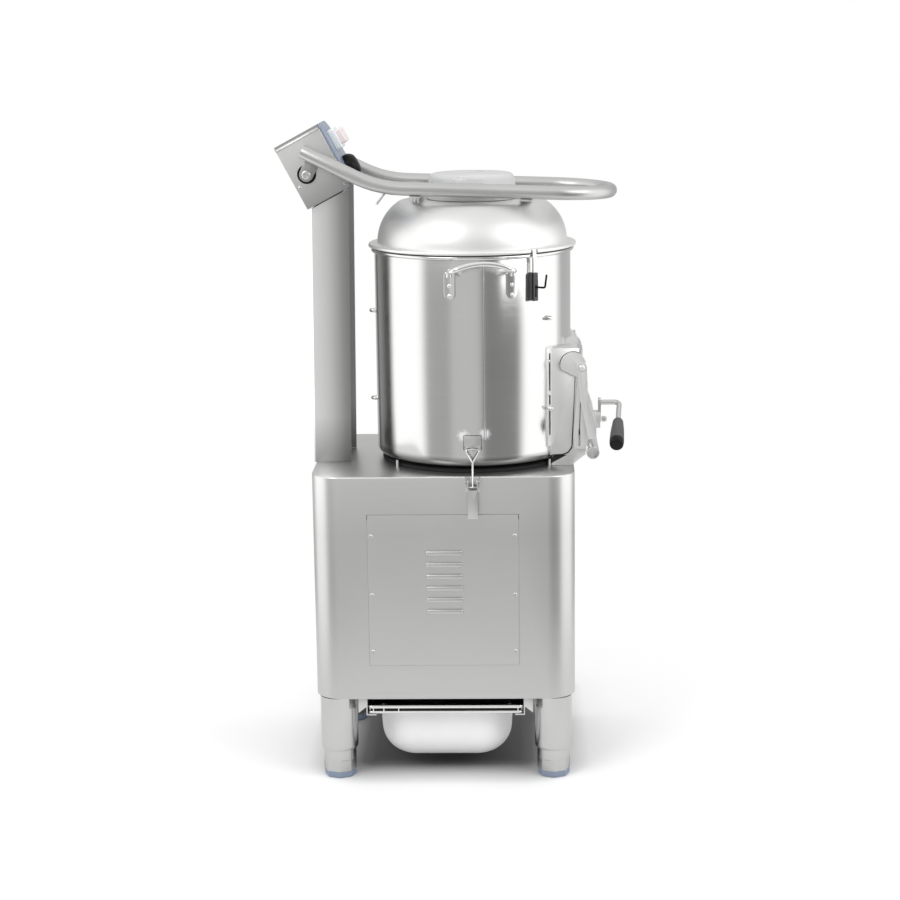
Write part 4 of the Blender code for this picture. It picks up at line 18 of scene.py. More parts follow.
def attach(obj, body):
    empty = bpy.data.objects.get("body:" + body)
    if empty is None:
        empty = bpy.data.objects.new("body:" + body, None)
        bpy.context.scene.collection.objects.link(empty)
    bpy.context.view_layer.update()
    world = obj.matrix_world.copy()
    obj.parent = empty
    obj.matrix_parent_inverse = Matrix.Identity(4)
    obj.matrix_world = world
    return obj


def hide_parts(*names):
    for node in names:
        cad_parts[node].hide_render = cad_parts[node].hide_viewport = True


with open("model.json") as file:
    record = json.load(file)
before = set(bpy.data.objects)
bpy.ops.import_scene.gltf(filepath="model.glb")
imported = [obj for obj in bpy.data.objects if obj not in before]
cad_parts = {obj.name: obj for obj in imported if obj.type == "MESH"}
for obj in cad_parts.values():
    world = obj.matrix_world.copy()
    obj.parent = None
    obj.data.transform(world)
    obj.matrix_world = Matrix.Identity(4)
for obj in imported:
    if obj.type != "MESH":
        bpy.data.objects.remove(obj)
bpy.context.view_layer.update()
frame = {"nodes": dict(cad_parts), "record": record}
slots = {part["node"]: part["material_slot"] for part in frame["record"]["subparts"]}

# %% [markdown]
# ## Camera
#
# The photograph was taken from 3.4 m away with a long lens, a little above the lid, so upright
# edges stay almost parallel. The camera's axes were solved from the cabinet's corners and the
# drum's ellipses. It could aim itself with a Track To constraint, but the photograph's middle
# isn't the machine's middle, so three small angles make its three axes instead. The lens is given
# by its focal length in pixels of the photograph, which a sensor 36 mm wide turns into
# millimetres.

# %% Camera
PLACE = (0.0962, -3.4098, 1.2113)
PITCH, YAW, ROLL = 0.2024, -0.0302, -0.0131
FOCAL_PIXELS, PICTURE_PIXELS, SENSOR = 2099.1, 900, 36
forward = Vector((math.sin(YAW) * math.cos(PITCH), math.cos(YAW) * math.cos(PITCH),
                  -math.sin(PITCH)))
right = Vector((math.cos(YAW), -math.sin(YAW), 0))
up = right.cross(forward)
right, up = (math.cos(ROLL) * right + math.sin(ROLL) * up,
             math.cos(ROLL) * up - math.sin(ROLL) * right)

lens = bpy.data.cameras.new("camera")
lens.sensor_width, lens.lens = SENSOR, SENSOR * FOCAL_PIXELS / PICTURE_PIXELS
camera = bpy.data.objects.new("camera", lens)
turned = Matrix((right, up, -forward)).transposed().to_4x4()
camera.matrix_world = Matrix.Translation(PLACE) @ turned
bpy.context.scene.collection.objects.link(camera)
bpy.context.scene.camera = camera
bpy.context.scene.view_settings.view_transform = "Standard"
print("the lens is", round(lens.lens, 1), "mm")

# %% [markdown]
# ## Shader maths as Python
#
# A finish is a few textures and some arithmetic between them. Wired by hand, each sum is a node
# and two links. A small class wraps one socket and overloads the operators, so a sum reads as a
# sum, and one method adds any other node.

# %% Finishes
class Wire:
    """One output socket, with arithmetic that adds Math nodes."""

    def __init__(self, finish, socket):
        self.finish, self.socket = finish, socket

    def math(self, operation, *values):
        return self.finish.node("ShaderNodeMath", {"operation": operation},
                                dict(enumerate(values)))

    def as_only(self, operation):
        """A sum of this wire alone, such as its square root."""
        return self.math(operation, self)

    def at_least(self, low):
        """This wire, or the number where the wire is less."""
        return self.math("MAXIMUM", self, low)

    def __add__(self, other): return self.math("ADD", self, other)
    def __radd__(self, other): return self.math("ADD", other, self)
    def __sub__(self, other): return self.math("SUBTRACT", self, other)
    def __rsub__(self, other): return self.math("SUBTRACT", other, self)
    def __mul__(self, other): return self.math("MULTIPLY", self, other)
    def __rmul__(self, other): return self.math("MULTIPLY", other, self)
    def __gt__(self, other): return self.math("GREATER_THAN", self, other)


class Finish:
    """A material whose Principled shader takes constants, and wires where it varies."""

    def __init__(self, name, **constants):
        self.material = bpy.data.materials.new(name)
        self.material.use_nodes = True
        self.tree = self.material.node_tree
        self.shader = self.tree.nodes["Principled BSDF"]
        for socket, value in constants.items():
            self.shader.inputs[socket.replace("_", " ")].default_value = value

    def node(self, kind, settings=None, inputs=None, out=0):
        """Any node: its settings first, then values or wires for its sockets."""
        node = self.tree.nodes.new(kind)
        settings = dict(settings or {})
        stops = settings.pop("stops", None)
        for key, value in settings.items():
            setattr(node, key, value)
        if stops:
            ramp = node.color_ramp
            while len(ramp.elements) < len(stops):
                ramp.elements.new(1.0)
            for element, (place, colour) in zip(ramp.elements, stops):
                element.position, element.color = place, colour
        for key, value in (inputs or {}).items():
            if isinstance(value, Wire):
                self.tree.links.new(value.socket, node.inputs[key])
            else:
                node.inputs[key].default_value = value
        return Wire(self, node.outputs[out])

    def where(self):
        """Object coordinates: the pattern stays on the piece when the piece moves."""
        return self.node("ShaderNodeTexCoord", out="Object")

    def scaled(self, scale):
        """Object coordinates with one scale for each axis."""
        return self.node("ShaderNodeMapping", {}, {0: self.where(), 3: scale})

    def split(self, vector):
        """The three parts of a vector."""
        parts = self.node("ShaderNodeSeparateXYZ", {}, {0: vector})
        return [Wire(self, socket) for socket in parts.socket.node.outputs]

    def noise(self, scale, detail=2.0):
        """Noise from 0 to 1, with one scale for each axis."""
        return self.node("ShaderNodeTexNoise", {},
                         {"Vector": self.scaled(scale), "Scale": 1.0, "Detail": detail})

    def along(self, direction):
        """How far a point lies along a direction, in object coordinates."""
        return self.node("ShaderNodeVectorMath", {"operation": "DOT_PRODUCT"},
                         {0: self.where(), 1: direction}, out="Value")

    def near(self, point):
        """The distance to a point, in object coordinates."""
        return self.node("ShaderNodeVectorMath", {"operation": "DISTANCE"},
                         {0: self.where(), 1: point}, out="Value")

    def ramp(self, wire, stops):
        """Greys along a wire that runs from 0 to 1."""
        stops = [(place, shade(level)) for place, level in stops]
        return self.node("ShaderNodeValToRGB", {"stops": stops}, {0: wire})

    def times(self, first, second):
        """One colour times another."""
        return self.node("ShaderNodeMix", {"data_type": "RGBA", "blend_type": "MULTIPLY"},
                         {0: 1.0, 6: first, 7: second}, out=2)

    def blend(self, mask, first, second):
        """One colour where the mask is 0 and the other where it is 1."""
        return self.node("ShaderNodeMix", {"data_type": "RGBA"}, {0: mask, 6: first, 7: second},
                         out=2)

    def feed(self, socket, wire):
        """Links a wire to the material's shader."""
        self.tree.links.new(wire.socket, self.shader.inputs[socket])

    def bump(self, height, depth, strength=1.0, after=None):
        """A normal from a height in metres, on top of another normal if one is given."""
        inputs = {"Height": height, "Distance": depth, "Strength": strength}
        if after:
            inputs["Normal"] = after
        return self.node("ShaderNodeBump", {}, inputs)


def shade(level, tint=(1.0, 1.0, 1.0)):
    """A grey of that level, a little tinted, with alpha 1."""
    return tuple(level * part for part in tint) + (1.0,)


# %% [markdown]
# ## Steel
#
# Nearly everything here is stainless sheet. It leaves the mill with fine brush lines along the
# sheet, and it is never quite flat. Three things make it: noise squeezed until it is lines, which
# moves the roughness and the bump a little, slow noise for handling marks, and a very slow bump
# that bends reflections as thin sheet does. An image texture of brushed steel would be quicker,
# but it repeats and needs a UV map, and noise on object coordinates needs neither.
#
# Some sheets go lighter or darker along their height, where they catch less of the room. That light
# and shade is painted into the colour: a grade is a colour ramp along a direction that the tone is
# multiplied by. A weld leaves a small matt cloud on polished steel, and a bloom is such a cloud:
# the distance to a point, roughened with noise.

# %% Steel finishes
STEEL_TINT = (1.0, 1.0, 0.99)
SWING = 0.08          # how far tone and roughness go from dark to light
LINE_DEPTH = 0.00002  # of the brush lines, in metres
X, Y, Z = (1, 0, 0), (0, 1, 0), (0, 0, 1)


def steel(name, level, roughness, lines, wave=0.0006, bow=None, painted_shading=(), blooms=()):
    """Brushed sheet: lines is the noise scale on each axis, largest across the brush.

    A wave is the depth of the slow bump, a bow is (the middle's X, how hard the sheet bows), a
    grade of painted light and shade is (direction, low, high, stops) and a bloom is (point, size).
    """
    finish = Finish(name, Metallic=1.0)
    line = finish.noise(lines, 3.0)
    smudge = finish.noise((9, 9, 9), 4.0)
    tone = finish.blend(line * 0.6 + smudge * 0.4, shade(level - SWING / 2, STEEL_TINT),
                        shade(level + SWING / 2, STEEL_TINT))
    # Painted light and shade: the tone times a grey ramp along a direction.
    for direction, low, high, stops in painted_shading:
        along = (finish.along(direction) - low) * (1 / (high - low))
        tone = finish.times(tone, finish.ramp(along, stops))
    rough = line * SWING + smudge * SWING + (roughness - SWING)
    for point, size in blooms:
        spread = (finish.near(point) + finish.noise((160, 160, 160)) * size) * (0.6 / size)
        bloom = finish.ramp(spread, [(0, 1), (0.55, 1), (1, 0)])
        tone = finish.blend(bloom, tone, shade(0.95))
        rough = rough + bloom * 0.4
    finish.feed("Base Color", tone)
    finish.feed("Roughness", rough)
    slow = finish.bump(finish.noise((3.2, 3.2, 2.2), 0.0), wave)
    if bow:
        x = finish.along(X) - bow[0]
        slow = finish.bump(x * x * -bow[1], 1.0, after=slow)
    finish.feed("Normal", finish.bump(line, LINE_DEPTH, 0.35, after=slow))
    return finish.material


materials = {
    # Painted shade: the cabinet's sheet is darker towards its bottom.
    "cabinet steel": steel("cabinet_steel", 0.66, 0.36, (5, 5, 900),
                           painted_shading=((Z, 0.14, 0.50, [(0, 0.80), (0.75, 0.84), (1, 1)]),)),
    # Painted shade: the column is darker towards the drum and towards its foot.
    "upright steel": steel("upright_steel", 0.94, 0.30, (900, 900, 5), wave=0.0004,
                           bow=(-0.1965, 1.6),
                           painted_shading=((X, -0.2230, -0.1660, [(0, 1.0), (0.45, 0.74), (0.85, 0.42),
                                                          (1, 0.36)]),
                                   (Z, 0.50, 0.58, [(0, 0.45), (1, 1)]))),
    # Painted shade: the drum is darkened along its foot, just above the cabinet.
    "drum steel": steel("drum_steel", 0.66, 0.18, (4, 4, 1100), wave=0.00005,
                        painted_shading=((Z, 0.512, 0.532, [(0, 0.14), (0.6, 0.36), (1, 1)]),),
                        blooms=(((0.0188, -0.159, 0.5664), 0.010),
                                ((0.0536, -0.159, 0.5692), 0.010))),
    # Painted light and shade: the dome is lighter near its base and a little darker below its
    # crease.
    "lid steel": steel("lid_steel", 0.73, 0.49, (30, 30, 900), wave=0.0002,
                       painted_shading=((Z, 0.852, 0.935,
                                [(0, 1.14), (0.25, 1.06), (0.6, 0.94), (1, 1)]),)),
    "tube steel": steel("tube_steel", 0.52, 0.38, (12, 12, 12), wave=0.0),
    "plate steel": steel("plate_steel", 0.66, 0.30, (600, 600, 12), wave=0.0003),
    "bright steel": steel("bright_steel", 0.76, 0.13, (40, 40, 40), wave=0.0),
    "leg steel": steel("leg_steel", 0.52, 0.18, (400, 400, 10), wave=0.0003),
    # Painted shade: the head is darker at its bottom and top, along its near upper edge, and
    # towards the drum.
    "head steel": steel("head_steel", 0.80, 0.36, (500, 20, 20), wave=0.0005,
                        painted_shading=(((-0.469, 0, 0.883), 0.9163, 1.0263,
                                 [(0, 0.55), (0.4, 0.84), (0.75, 1), (0.90, 1), (1, 0.66)]),
                                ((-0.469, -1, 0.883), 1.0903, 1.0963,
                                 [(0, 1), (0.3, 1), (0.5, 0.58), (1, 0.52)]),
                                (X, -0.29, -0.17, [(0, 1), (1, 0.86)]))),
    "chute steel": steel("chute_steel", 0.72, 0.50, (8, 8, 700), wave=0.0002),
    "zinc": steel("zinc", 0.58, 0.40, (60, 60, 60), wave=0.0),
    # Dark steel, also used for the painted shade round the service panel.
    "dark steel and painted shade": steel("dark_steel_and_painted_shade", 0.40, 0.42, (60, 60, 60), wave=0.0),
}
print(len(materials), "steels")

# %% [markdown]
# ## Plastic, rubber, grit and paint
#
# These are dielectrics, so what sets them apart is how their small surface is broken up: a fine
# moulded grain on plastic, grit as sharp Voronoi cells on the abrasive, orange peel on the paint.
# The drawer's screen has thousands of small holes. Cut as geometry they would outweigh all the
# rest, so two crossed sine waves make the pattern and Alpha cuts it.

# %% Other finishes
def moulded(name, colour, roughness, grain=0.00004, size=1400.0, **constants):
    """Plastic or rubber with a moulded grain and a few faint wear marks."""
    finish = Finish(name, **constants)
    wear = finish.noise((14, 14, 14), 4.0)
    darker = tuple(part * 0.86 for part in colour[:3]) + (1.0,)
    finish.feed("Base Color", finish.blend(wear, darker, colour))
    finish.feed("Roughness", wear * 0.16 + (roughness - 0.08))
    finish.feed("Normal", finish.bump(finish.noise((size, size, size), 1.0), grain, 0.5))
    return finish.material


def perforated(name):
    """Steel sheet with rows of round holes, cut by Alpha."""
    finish = Finish(name, Metallic=1.0)
    x, y, _ = finish.split(finish.where())
    first, second = ((axis * (math.pi / 0.004)).as_only("SINE") for axis in (x + y, x - y))
    hole = (first * second).as_only("ABSOLUTE") > 0.42
    finish.feed("Alpha", 1 - hole)
    finish.feed("Base Color", finish.blend(finish.noise((30, 30, 30), 3.0), shade(0.56),
                                           shade(0.68)))
    finish.feed("Roughness", finish.noise((80, 80, 80), 3.0) * 0.2 + 0.22)
    return finish.material


def grit(name):
    """Carborundum grains in dark resin."""
    finish = Finish(name, IOR=1.5)
    cells = finish.node("ShaderNodeTexVoronoi", {},
                        {"Vector": finish.scaled((520, 520, 520)), "Scale": 1.0})
    finish.feed("Base Color", finish.blend(cells, shade(0.16, (1, 0.97, 0.94)), shade(0.05)))
    finish.feed("Roughness", cells * 0.4 + 0.5)
    finish.feed("Normal", finish.bump(cells, 0.0012, 0.9))
    return finish.material


materials |= {
    # Black rubber, also used for strips and sheets of painted shade.
    "black rubber and painted shade": moulded("black_rubber_and_painted_shade", shade(0.010), 0.66, Specular_IOR_Level=0.3),
    "graphite plastic": moulded("graphite_plastic", shade(0.065), 0.45),
    # Black plastic, also used for the slit of painted shade on the lid bolt.
    "black plastic and painted shade": moulded("black_plastic", shade(0.005), 0.38, Specular_IOR_Level=0.18),
    "white plastic": moulded("white_plastic", shade(0.80), 0.34, grain=0.00002),
    "pan plastic": moulded("pan_plastic", shade(0.88), 0.40, grain=0.00002),
    "clear plastic": moulded("clear_plastic", shade(0.78), 0.30, grain=0.00001,
                             Transmission_Weight=0.22, IOR=1.46),
    "panel film": moulded("panel_film", (0.22, 0.27, 0.37, 1), 0.30, grain=0.00001,
                          Coat_Weight=0.2),
    "stop plastic": moulded("stop_plastic", (0.90, 0.80, 0.80, 1), 0.35),
    "start plastic": moulded("start_plastic", (0.86, 0.89, 0.86, 1), 0.35),
    "red mark": moulded("red_mark", (0.62, 0.10, 0.10, 1), 0.40, grain=0.00001),
    "motor paint": moulded("motor_paint", (0.10, 0.13, 0.18, 1), 0.42, grain=0.0002, size=500.0),
    "cast metal": moulded("cast_metal", shade(0.40), 0.48, grain=0.0003, size=700.0,
                          Metallic=0.9),
    "switch plastic": moulded("switch_plastic", (0.93, 0.94, 0.95, 1), 0.30, grain=0.00001,
                              Subsurface_Weight=0.2, Subsurface_Scale=0.005),
    "glide plastic": moulded("glide_plastic", (0.22, 0.27, 0.36, 1), 0.42),
    "screen steel": perforated("screen_steel"),
    "grit": grit("grit"),
}
print(len(materials), "finishes")

# %% [markdown]
# ## Every carried-over node gets its finish
#
# The inner pieces keep their CAD shape, because they show only through a gap or with the lid up.
# The record names a material for every node, and a table gives each of those its finish, so a
# node can't be forgotten. The nodes that new pieces stand for get one too, though they won't show.

# %% Finish the nodes
SLOT_FINISH = {
    "brushed_stainless": "cabinet steel", "polished_stainless": "bright steel",
    "satin_stainless": "plate steel", "rubber": "black rubber and painted shade",
    "black_plastic": "black plastic and painted shade", "white_plastic": "white plastic",
    "clear_plastic": "white plastic", "panel_film": "panel film",
    "red_button": "stop plastic", "green_button": "start plastic", "abrasive": "grit",
    "painted_motor": "motor paint", "cast_metal": "cast metal",
}
for name, node in frame["nodes"].items():
    node.data.materials.clear()
    node.data.materials.append(materials[SLOT_FINISH[slots[name]]])

# %% [markdown]
# ## From a bmesh to a piece
#
# Every new piece takes the same last steps. Its mesh gets a finish and smooth shading that breaks
# at real edges, the piece rides on the CAD body that carries it, and it stands for the CAD nodes
# that it replaces. Shading by angle is chosen over a bevel everywhere, because most of this
# machine is thin sheet, where a bevel has no room.

# %% A piece from a bmesh
AXIS = 0.033683     # X of the drum's upright axis
MIDDLE = -0.014217  # X of the cabinet's middle


def as_piece(bm, name, body, finish, stands_for=(), smooth=33, more=()):
    """Turns a bmesh into a named piece on a body; an edge over smooth degrees stays sharp."""
    mesh = bpy.data.meshes.new(name)
    bm.to_mesh(mesh)
    bm.free()
    for key in (finish, *more):
        mesh.materials.append(materials[key])
    mesh.shade_smooth()
    mesh.set_sharp_from_angle(angle=math.radians(smooth))
    piece = bpy.data.objects.new(name, mesh)
    bpy.context.scene.collection.objects.link(piece)
    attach(piece, body)
    if stands_for:
        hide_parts(*stands_for)
    print(name, len(mesh.polygons), "faces")


# %% [markdown]
# ## Lathe and slab
#
# Round pieces come from a lathe: a section is drawn beside the axis, its corners are rounded while
# it is still a line, and a full spin turns it into a surface whose seam is merged. Square pieces
# come from a cube stretched between two corners and bevelled. Both could be drawn face by face,
# but an operator keeps the faces even, and a radius is then one number.

# %% Lathe and slab
def outlined(places, rounds, segments):
    """A closed line through the places, its listed corners rounded, as (index, radius)."""
    bm = bmesh.new()
    points = [bm.verts.new(place) for place in places]
    for pair in zip(points, points[1:] + points[:1]):
        bm.edges.new(pair)
    for index, radius in rounds:
        bmesh.ops.bevel(bm, geom=[points[index]], offset=radius, segments=segments, profile=0.5,
                        affect="VERTICES", material=-1)
    return bm


def lathe(profile, rounds=(), steps=128):
    """Spins an outline of (radius, height) points about Z, its listed corners rounded first."""
    bm = outlined([(radius, 0, height) for radius, height in profile], rounds, 6)
    bmesh.ops.spin(bm, geom=bm.verts[:] + bm.edges[:], cent=(0, 0, 0), axis=(0, 0, 1),
                   angle=2 * math.pi, steps=steps, use_merge=True)
    bmesh.ops.remove_doubles(bm, verts=bm.verts, dist=1e-6)
    bmesh.ops.recalc_face_normals(bm, faces=bm.faces)
    return bm


def eased(bm, edges, radius, steps, clamp=False):
    """Rounds edges with a bevel whose section is an arc."""
    bmesh.ops.bevel(bm, geom=edges, offset=radius, segments=steps, profile=0.5, affect="EDGES",
                    clamp_overlap=clamp, material=-1)
    return bm


def slab(low, high, ease=0.0, steps=3, edges=None):
    """A box between two corners, with its edges eased: all, or those that a test picks."""
    bm = bmesh.new()
    bmesh.ops.create_cube(bm, size=1)
    low, high = Vector(low), Vector(high)
    bmesh.ops.scale(bm, vec=high - low, verts=bm.verts)
    bmesh.ops.translate(bm, vec=(low + high) / 2, verts=bm.verts)
    if ease:
        chosen = [edge for edge in bm.edges if edges is None or edges(edge)]
        eased(bm, chosen, ease, steps, clamp=True)
    return bm


# %% [markdown]
# ## Picking parts of a shape
#
# By hand, edges are picked with the mouse. A script picks them by where they are: the edges that
# run along an axis, or those that lie past a level. Like this a shape can be resized and the right
# edges are still picked, which their numbers in the mesh wouldn't give.

# %% Picking edges and faces
def reach(edge, axis):
    """How far an edge runs along x, y or z."""
    first, second = (getattr(vert.co, axis) for vert in edge.verts)
    return abs(first - second)


def edges_past(bm, axis, level):
    """The edges that lie wholly past a level on x, y or z."""
    return [e for e in bm.edges if all(getattr(v.co, axis) > level for v in e.verts)]


def whole(bm):
    """All of a bmesh, for the operators that want it as a list."""
    return bm.verts[:] + bm.edges[:] + bm.faces[:]


def dressed(bm, finish=1):
    """The same bmesh in another finish of its piece's list."""
    for face in bm.faces:
        face.material_index = finish
    return bm


# %% [markdown]
# ## Placing and joining
#
# A shape is made where it is easy to think about, mostly at the origin, and matrices then carry it
# to its place. The place ends up in the mesh, so every object stays at the origin. Shapes that
# only touch are joined as shells of one mesh. Where one cuts the other, a Boolean modifier is
# applied.

# %% Placing and joining
def put(bm, *matrices):
    """The same bmesh after those matrices, the last one first."""
    for matrix in reversed(matrices):
        bmesh.ops.transform(bm, matrix=matrix, verts=bm.verts)
    return bm


def add(bm, *others):
    """Puts other bmeshes into this one as shells of their own."""
    for other in others:
        mesh = bpy.data.meshes.new("part")
        other.to_mesh(mesh)
        other.free()
        bm.from_mesh(mesh)
        bpy.data.meshes.remove(mesh)
    return bm


def at(x=0.0, y=0.0, z=0.0):
    """A move."""
    return Matrix.Translation((x, y, z))


def spun(degrees, axis="Z"):
    """A turn about an axis through the origin."""
    return Matrix.Rotation(math.radians(degrees), 4, axis)


def facing(direction):
    """The turn that brings +Z to a direction."""
    return Vector(Z).rotation_difference(Vector(direction)).to_matrix().to_4x4()


def loose(bm):
    """A bare object of a bmesh, for a modifier to work on."""
    mesh = bpy.data.meshes.new("loose")
    bm.to_mesh(mesh)
    bm.free()
    obj = bpy.data.objects.new("loose", mesh)
    bpy.context.scene.collection.objects.link(obj)
    return obj


def shaped(bm, tool, operation="DIFFERENCE"):
    """A Boolean modifier between two bmeshes, applied at once."""
    body, cutter = loose(bm), loose(tool)
    boolean = body.modifiers.new("shape", "BOOLEAN")
    boolean.operation, boolean.solver, boolean.object = operation, "EXACT", cutter
    made = bpy.data.meshes.new_from_object(
        body.evaluated_get(bpy.context.evaluated_depsgraph_get()))
    result = bmesh.new()
    result.from_mesh(made)
    for obj in (body, cutter):
        mesh = obj.data
        bpy.data.objects.remove(obj)
        bpy.data.meshes.remove(mesh)
    bpy.data.meshes.remove(made)
    return result


# %% [markdown]
# ## A bender and a press
#
# Two more helpers make most of what is left. A tube bender only knows "feed" and "bend", so the
# first moves one circle, extruding it along a straight and spinning it round each bend. The
# second works as a press does: it draws a flat outline, rounds the corners that are named, and
# pushes the sheet to its thickness.

# %% Bent bars
def bent_bar(radius, start, heading, moves, sides=20, caps=True):
    """A round bar: each move is a length to feed, or (axis, bend radius, degrees)."""
    bm = bmesh.new()
    place, heading = Vector(start), Vector(heading).normalized()
    bmesh.ops.create_circle(bm, segments=sides, radius=radius)
    put(bm, at(*place), facing(heading))
    ring = bm.edges[:]
    for move in moves:
        if isinstance(move, tuple):
            axis, bend, degrees = Vector(move[0]).normalized(), move[1], move[2]
            centre = place + axis.cross(heading) * bend
            angle, steps = math.radians(degrees), max(3, round(degrees / 5))
            corners = list(dict.fromkeys(v for e in ring for v in e.verts))
            made = bmesh.ops.spin(bm, geom=ring + corners, cent=centre, axis=axis, angle=angle,
                                  steps=steps)
            ring = [e for e in made["geom_last"] if isinstance(e, bmesh.types.BMEdge)]
            turn = Matrix.Rotation(angle, 3, axis)
            place, heading = centre + turn @ (place - centre), turn @ heading
        else:
            made = bmesh.ops.extrude_edge_only(bm, edges=ring)["geom"]
            moved = {v for v in made if isinstance(v, bmesh.types.BMVert)}
            bmesh.ops.translate(bm, vec=heading * move, verts=list(moved))
            ring = [e for e in made if isinstance(e, bmesh.types.BMEdge)
                    and set(e.verts) <= moved]
            place = place + heading * move
    if caps:
        bmesh.ops.holes_fill(bm, edges=[e for e in bm.edges if e.is_boundary])
    bmesh.ops.recalc_face_normals(bm, faces=bm.faces)
    return bm


def doubled(bm, axis):
    """The half and its mirror image, welded where they meet."""
    bmesh.ops.mirror(bm, geom=whole(bm), matrix=Matrix.Identity(4), merge_dist=2e-5, axis=axis)
    bmesh.ops.holes_fill(bm, edges=[e for e in bm.edges if e.is_boundary])
    bmesh.ops.recalc_face_normals(bm, faces=bm.faces)
    return bm


# %% Pressed plates
def plate(outline, depth, rounds=(), ease=0.0003):
    """A flat (x, z) outline whose named corners are rounded, pushed back along +Y."""
    bm = outlined([(x, 0, z) for x, z in outline], rounds, 10)
    bmesh.ops.remove_doubles(bm, verts=bm.verts, dist=1e-5)
    bmesh.ops.contextual_create(bm, geom=bm.edges[:])
    made = bmesh.ops.extrude_face_region(bm, geom=bm.faces[:])["geom"]
    bmesh.ops.translate(bm, vec=(0, depth, 0),
                        verts=[v for v in made if isinstance(v, bmesh.types.BMVert)])
    bmesh.ops.recalc_face_normals(bm, faces=bm.faces)
    if ease:
        eased(bm, [e for e in bm.edges if reach(e, "y") < depth / 2], ease, 2)
    return bm


def peg(radius, low, high, steps=32):
    """An upright cylinder between two heights, its rims eased."""
    ease = min(radius, high - low) * 0.12
    return lathe([(0, low), (radius, low), (radius, high), (0, high)], [(1, ease), (2, ease)],
                 steps)


# %% [markdown]
# ## Screws, rivets and nuts
#
# Small fasteners repeat all over the machine, so each is made by one short function. A lathe
# outline gives the round ones. A cap nut is the same lathe with six steps for its hexagon and a
# dome on top.

# %% Fasteners
def button_head(radius, height):
    """A low domed head that faces +Z, with a cross recess."""
    head = lathe([(0, -0.0004), (radius, -0.0004), (radius, height * 0.35),
                  (radius * 0.62, height * 0.92), (0, height)], steps=20)
    width = radius * 0.2
    for turn in (20, 110):
        bar = slab((-radius * 0.55, -width / 2, height * 0.45),
                   (radius * 0.55, width / 2, height * 2))
        head = shaped(head, put(bar, spun(turn)))
    return head


def cap_nut(radius, height):
    """A domed hexagon nut that faces +Z."""
    nut = lathe([(0, -0.0005), (radius, -0.0005), (radius, height * 0.42), (0, height * 0.42)],
                steps=6)
    dome = lathe([(0, 0), (radius * 0.8, 0), (radius * 0.8, height * 0.72),
                  (radius * 0.55, height * 0.92), (0, height)], steps=20)
    return add(nut, dome)


# %% [markdown]
# ## Cabinet
#
# The real cabinet is one sheet folded round four wide corners, with a soft edge round the top. A
# cube whose upright edges and then top edges are bevelled gives that in two operators. The
# bottom face comes off and solidify gives the sheet its thickness. Holes are then cut for the
# service panel, the spindle and the waste pipe, and four studs carry the drum.

# %% Cabinet
SHEET = 0.0015  # the thickness of the cabinet's steel
PIPE_Y = 0.118  # the waste pipe behind the drum's axis

cabinet = slab((MIDDLE - 0.21, -0.17825, 0.1385), (MIDDLE + 0.21, 0.17825, 0.5047), 0.045, 12,
               lambda edge: reach(edge, "z") > 0.1)
eased(cabinet, edges_past(cabinet, "z", 0.5), 0.0025, 4)
bottom = [f for f in cabinet.faces if f.calc_center_median().z < 0.139]
bmesh.ops.delete(cabinet, geom=bottom, context="FACES")
bmesh.ops.recalc_face_normals(cabinet, faces=cabinet.faces)
bmesh.ops.solidify(cabinet, geom=cabinet.faces[:], thickness=SHEET)
window = slab((MIDDLE - 0.108, -0.19, 0.208), (MIDDLE + 0.107, -0.17, 0.431))
cabinet = shaped(cabinet, window)
for radius, y in ((0.0303, 0), (0.0203, PIPE_Y)):
    cabinet = shaped(cabinet, put(peg(radius, 0.49, 0.52, 64), at(AXIS, y)))
for angle in (52, 128, 232, 308):
    stud = put(peg(0.0025, 0.5030, 0.5153, 16), at(AXIS), spun(angle), at(0, -0.1555))
    add(cabinet, stud)
as_piece(cabinet, "cabinet", "cabinet", "cabinet steel", ("cabinet_shell",))

# %% [markdown]
# ## Service panel
#
# A flat cover with six louvres, each pressed out of the sheet as a rounded hood and slit along
# its lower edge, so warm air leaves and splashes stay out. The hoods are joined to the plate by a
# Boolean and hollowed by smaller ones, so each slit is a real opening.

# %% Service panel
BEHIND = -0.17855       # Y of the panel's back
FACE = BEHIND - SHEET   # Y of its front
FRONT = (0, -1, 0)      # the side that the photograph shows
LOUVRES = [0.381 - 0.0192 * row for row in range(6)]
panel = slab((MIDDLE - 0.1201, FACE, 0.1955), (MIDDLE + 0.1193, FACE + SHEET, 0.443), 0.0003, 1)


def hoods(shrink, back):
    """Six rounded bars, one above the other, as hoods or as the hollows inside them."""
    rows = bmesh.new()
    for z in LOUVRES:
        bar = slab((-0.02925 + shrink, -0.0036 + shrink, z - 0.004 + shrink),
                   (0.02925 - shrink, back, z + 0.004 - shrink), 0.0030 - shrink, 4)
        add(rows, put(bar, at(MIDDLE + 0.0015, FACE, 0)))
    return rows


slits = bmesh.new()
for z in LOUVRES:
    slit = slab((-0.0235, -0.006, z - 0.0062), (0.0235, -0.0004, z - 0.0026))
    add(slits, put(slit, at(MIDDLE + 0.0015, FACE, 0)))
panel = shaped(panel, hoods(0, 0.001), "UNION")
panel = shaped(panel, hoods(0.0009, 0.004))
panel = shaped(panel, slits)
for x in (-0.1146, 0.1138):
    for z in (0.2190, 0.3130, 0.4095):
        add(panel, put(button_head(0.0031, 0.0017), at(MIDDLE + x, FACE, z), facing(FRONT)))
as_piece(panel, "panel", "cabinet", "cabinet steel", ("service_panel",))

# %% [markdown]
# ## Panel edge lines
#
# The panel lies on the cabinet with a hair of a gap round it, which shows as a thin dark line. A
# gap that fine could be left to the light, but it would come and go with the view. So its shade is
# painted: dark strips a fifth of a millimetre thick, laid in the gap, keep the line at every angle.

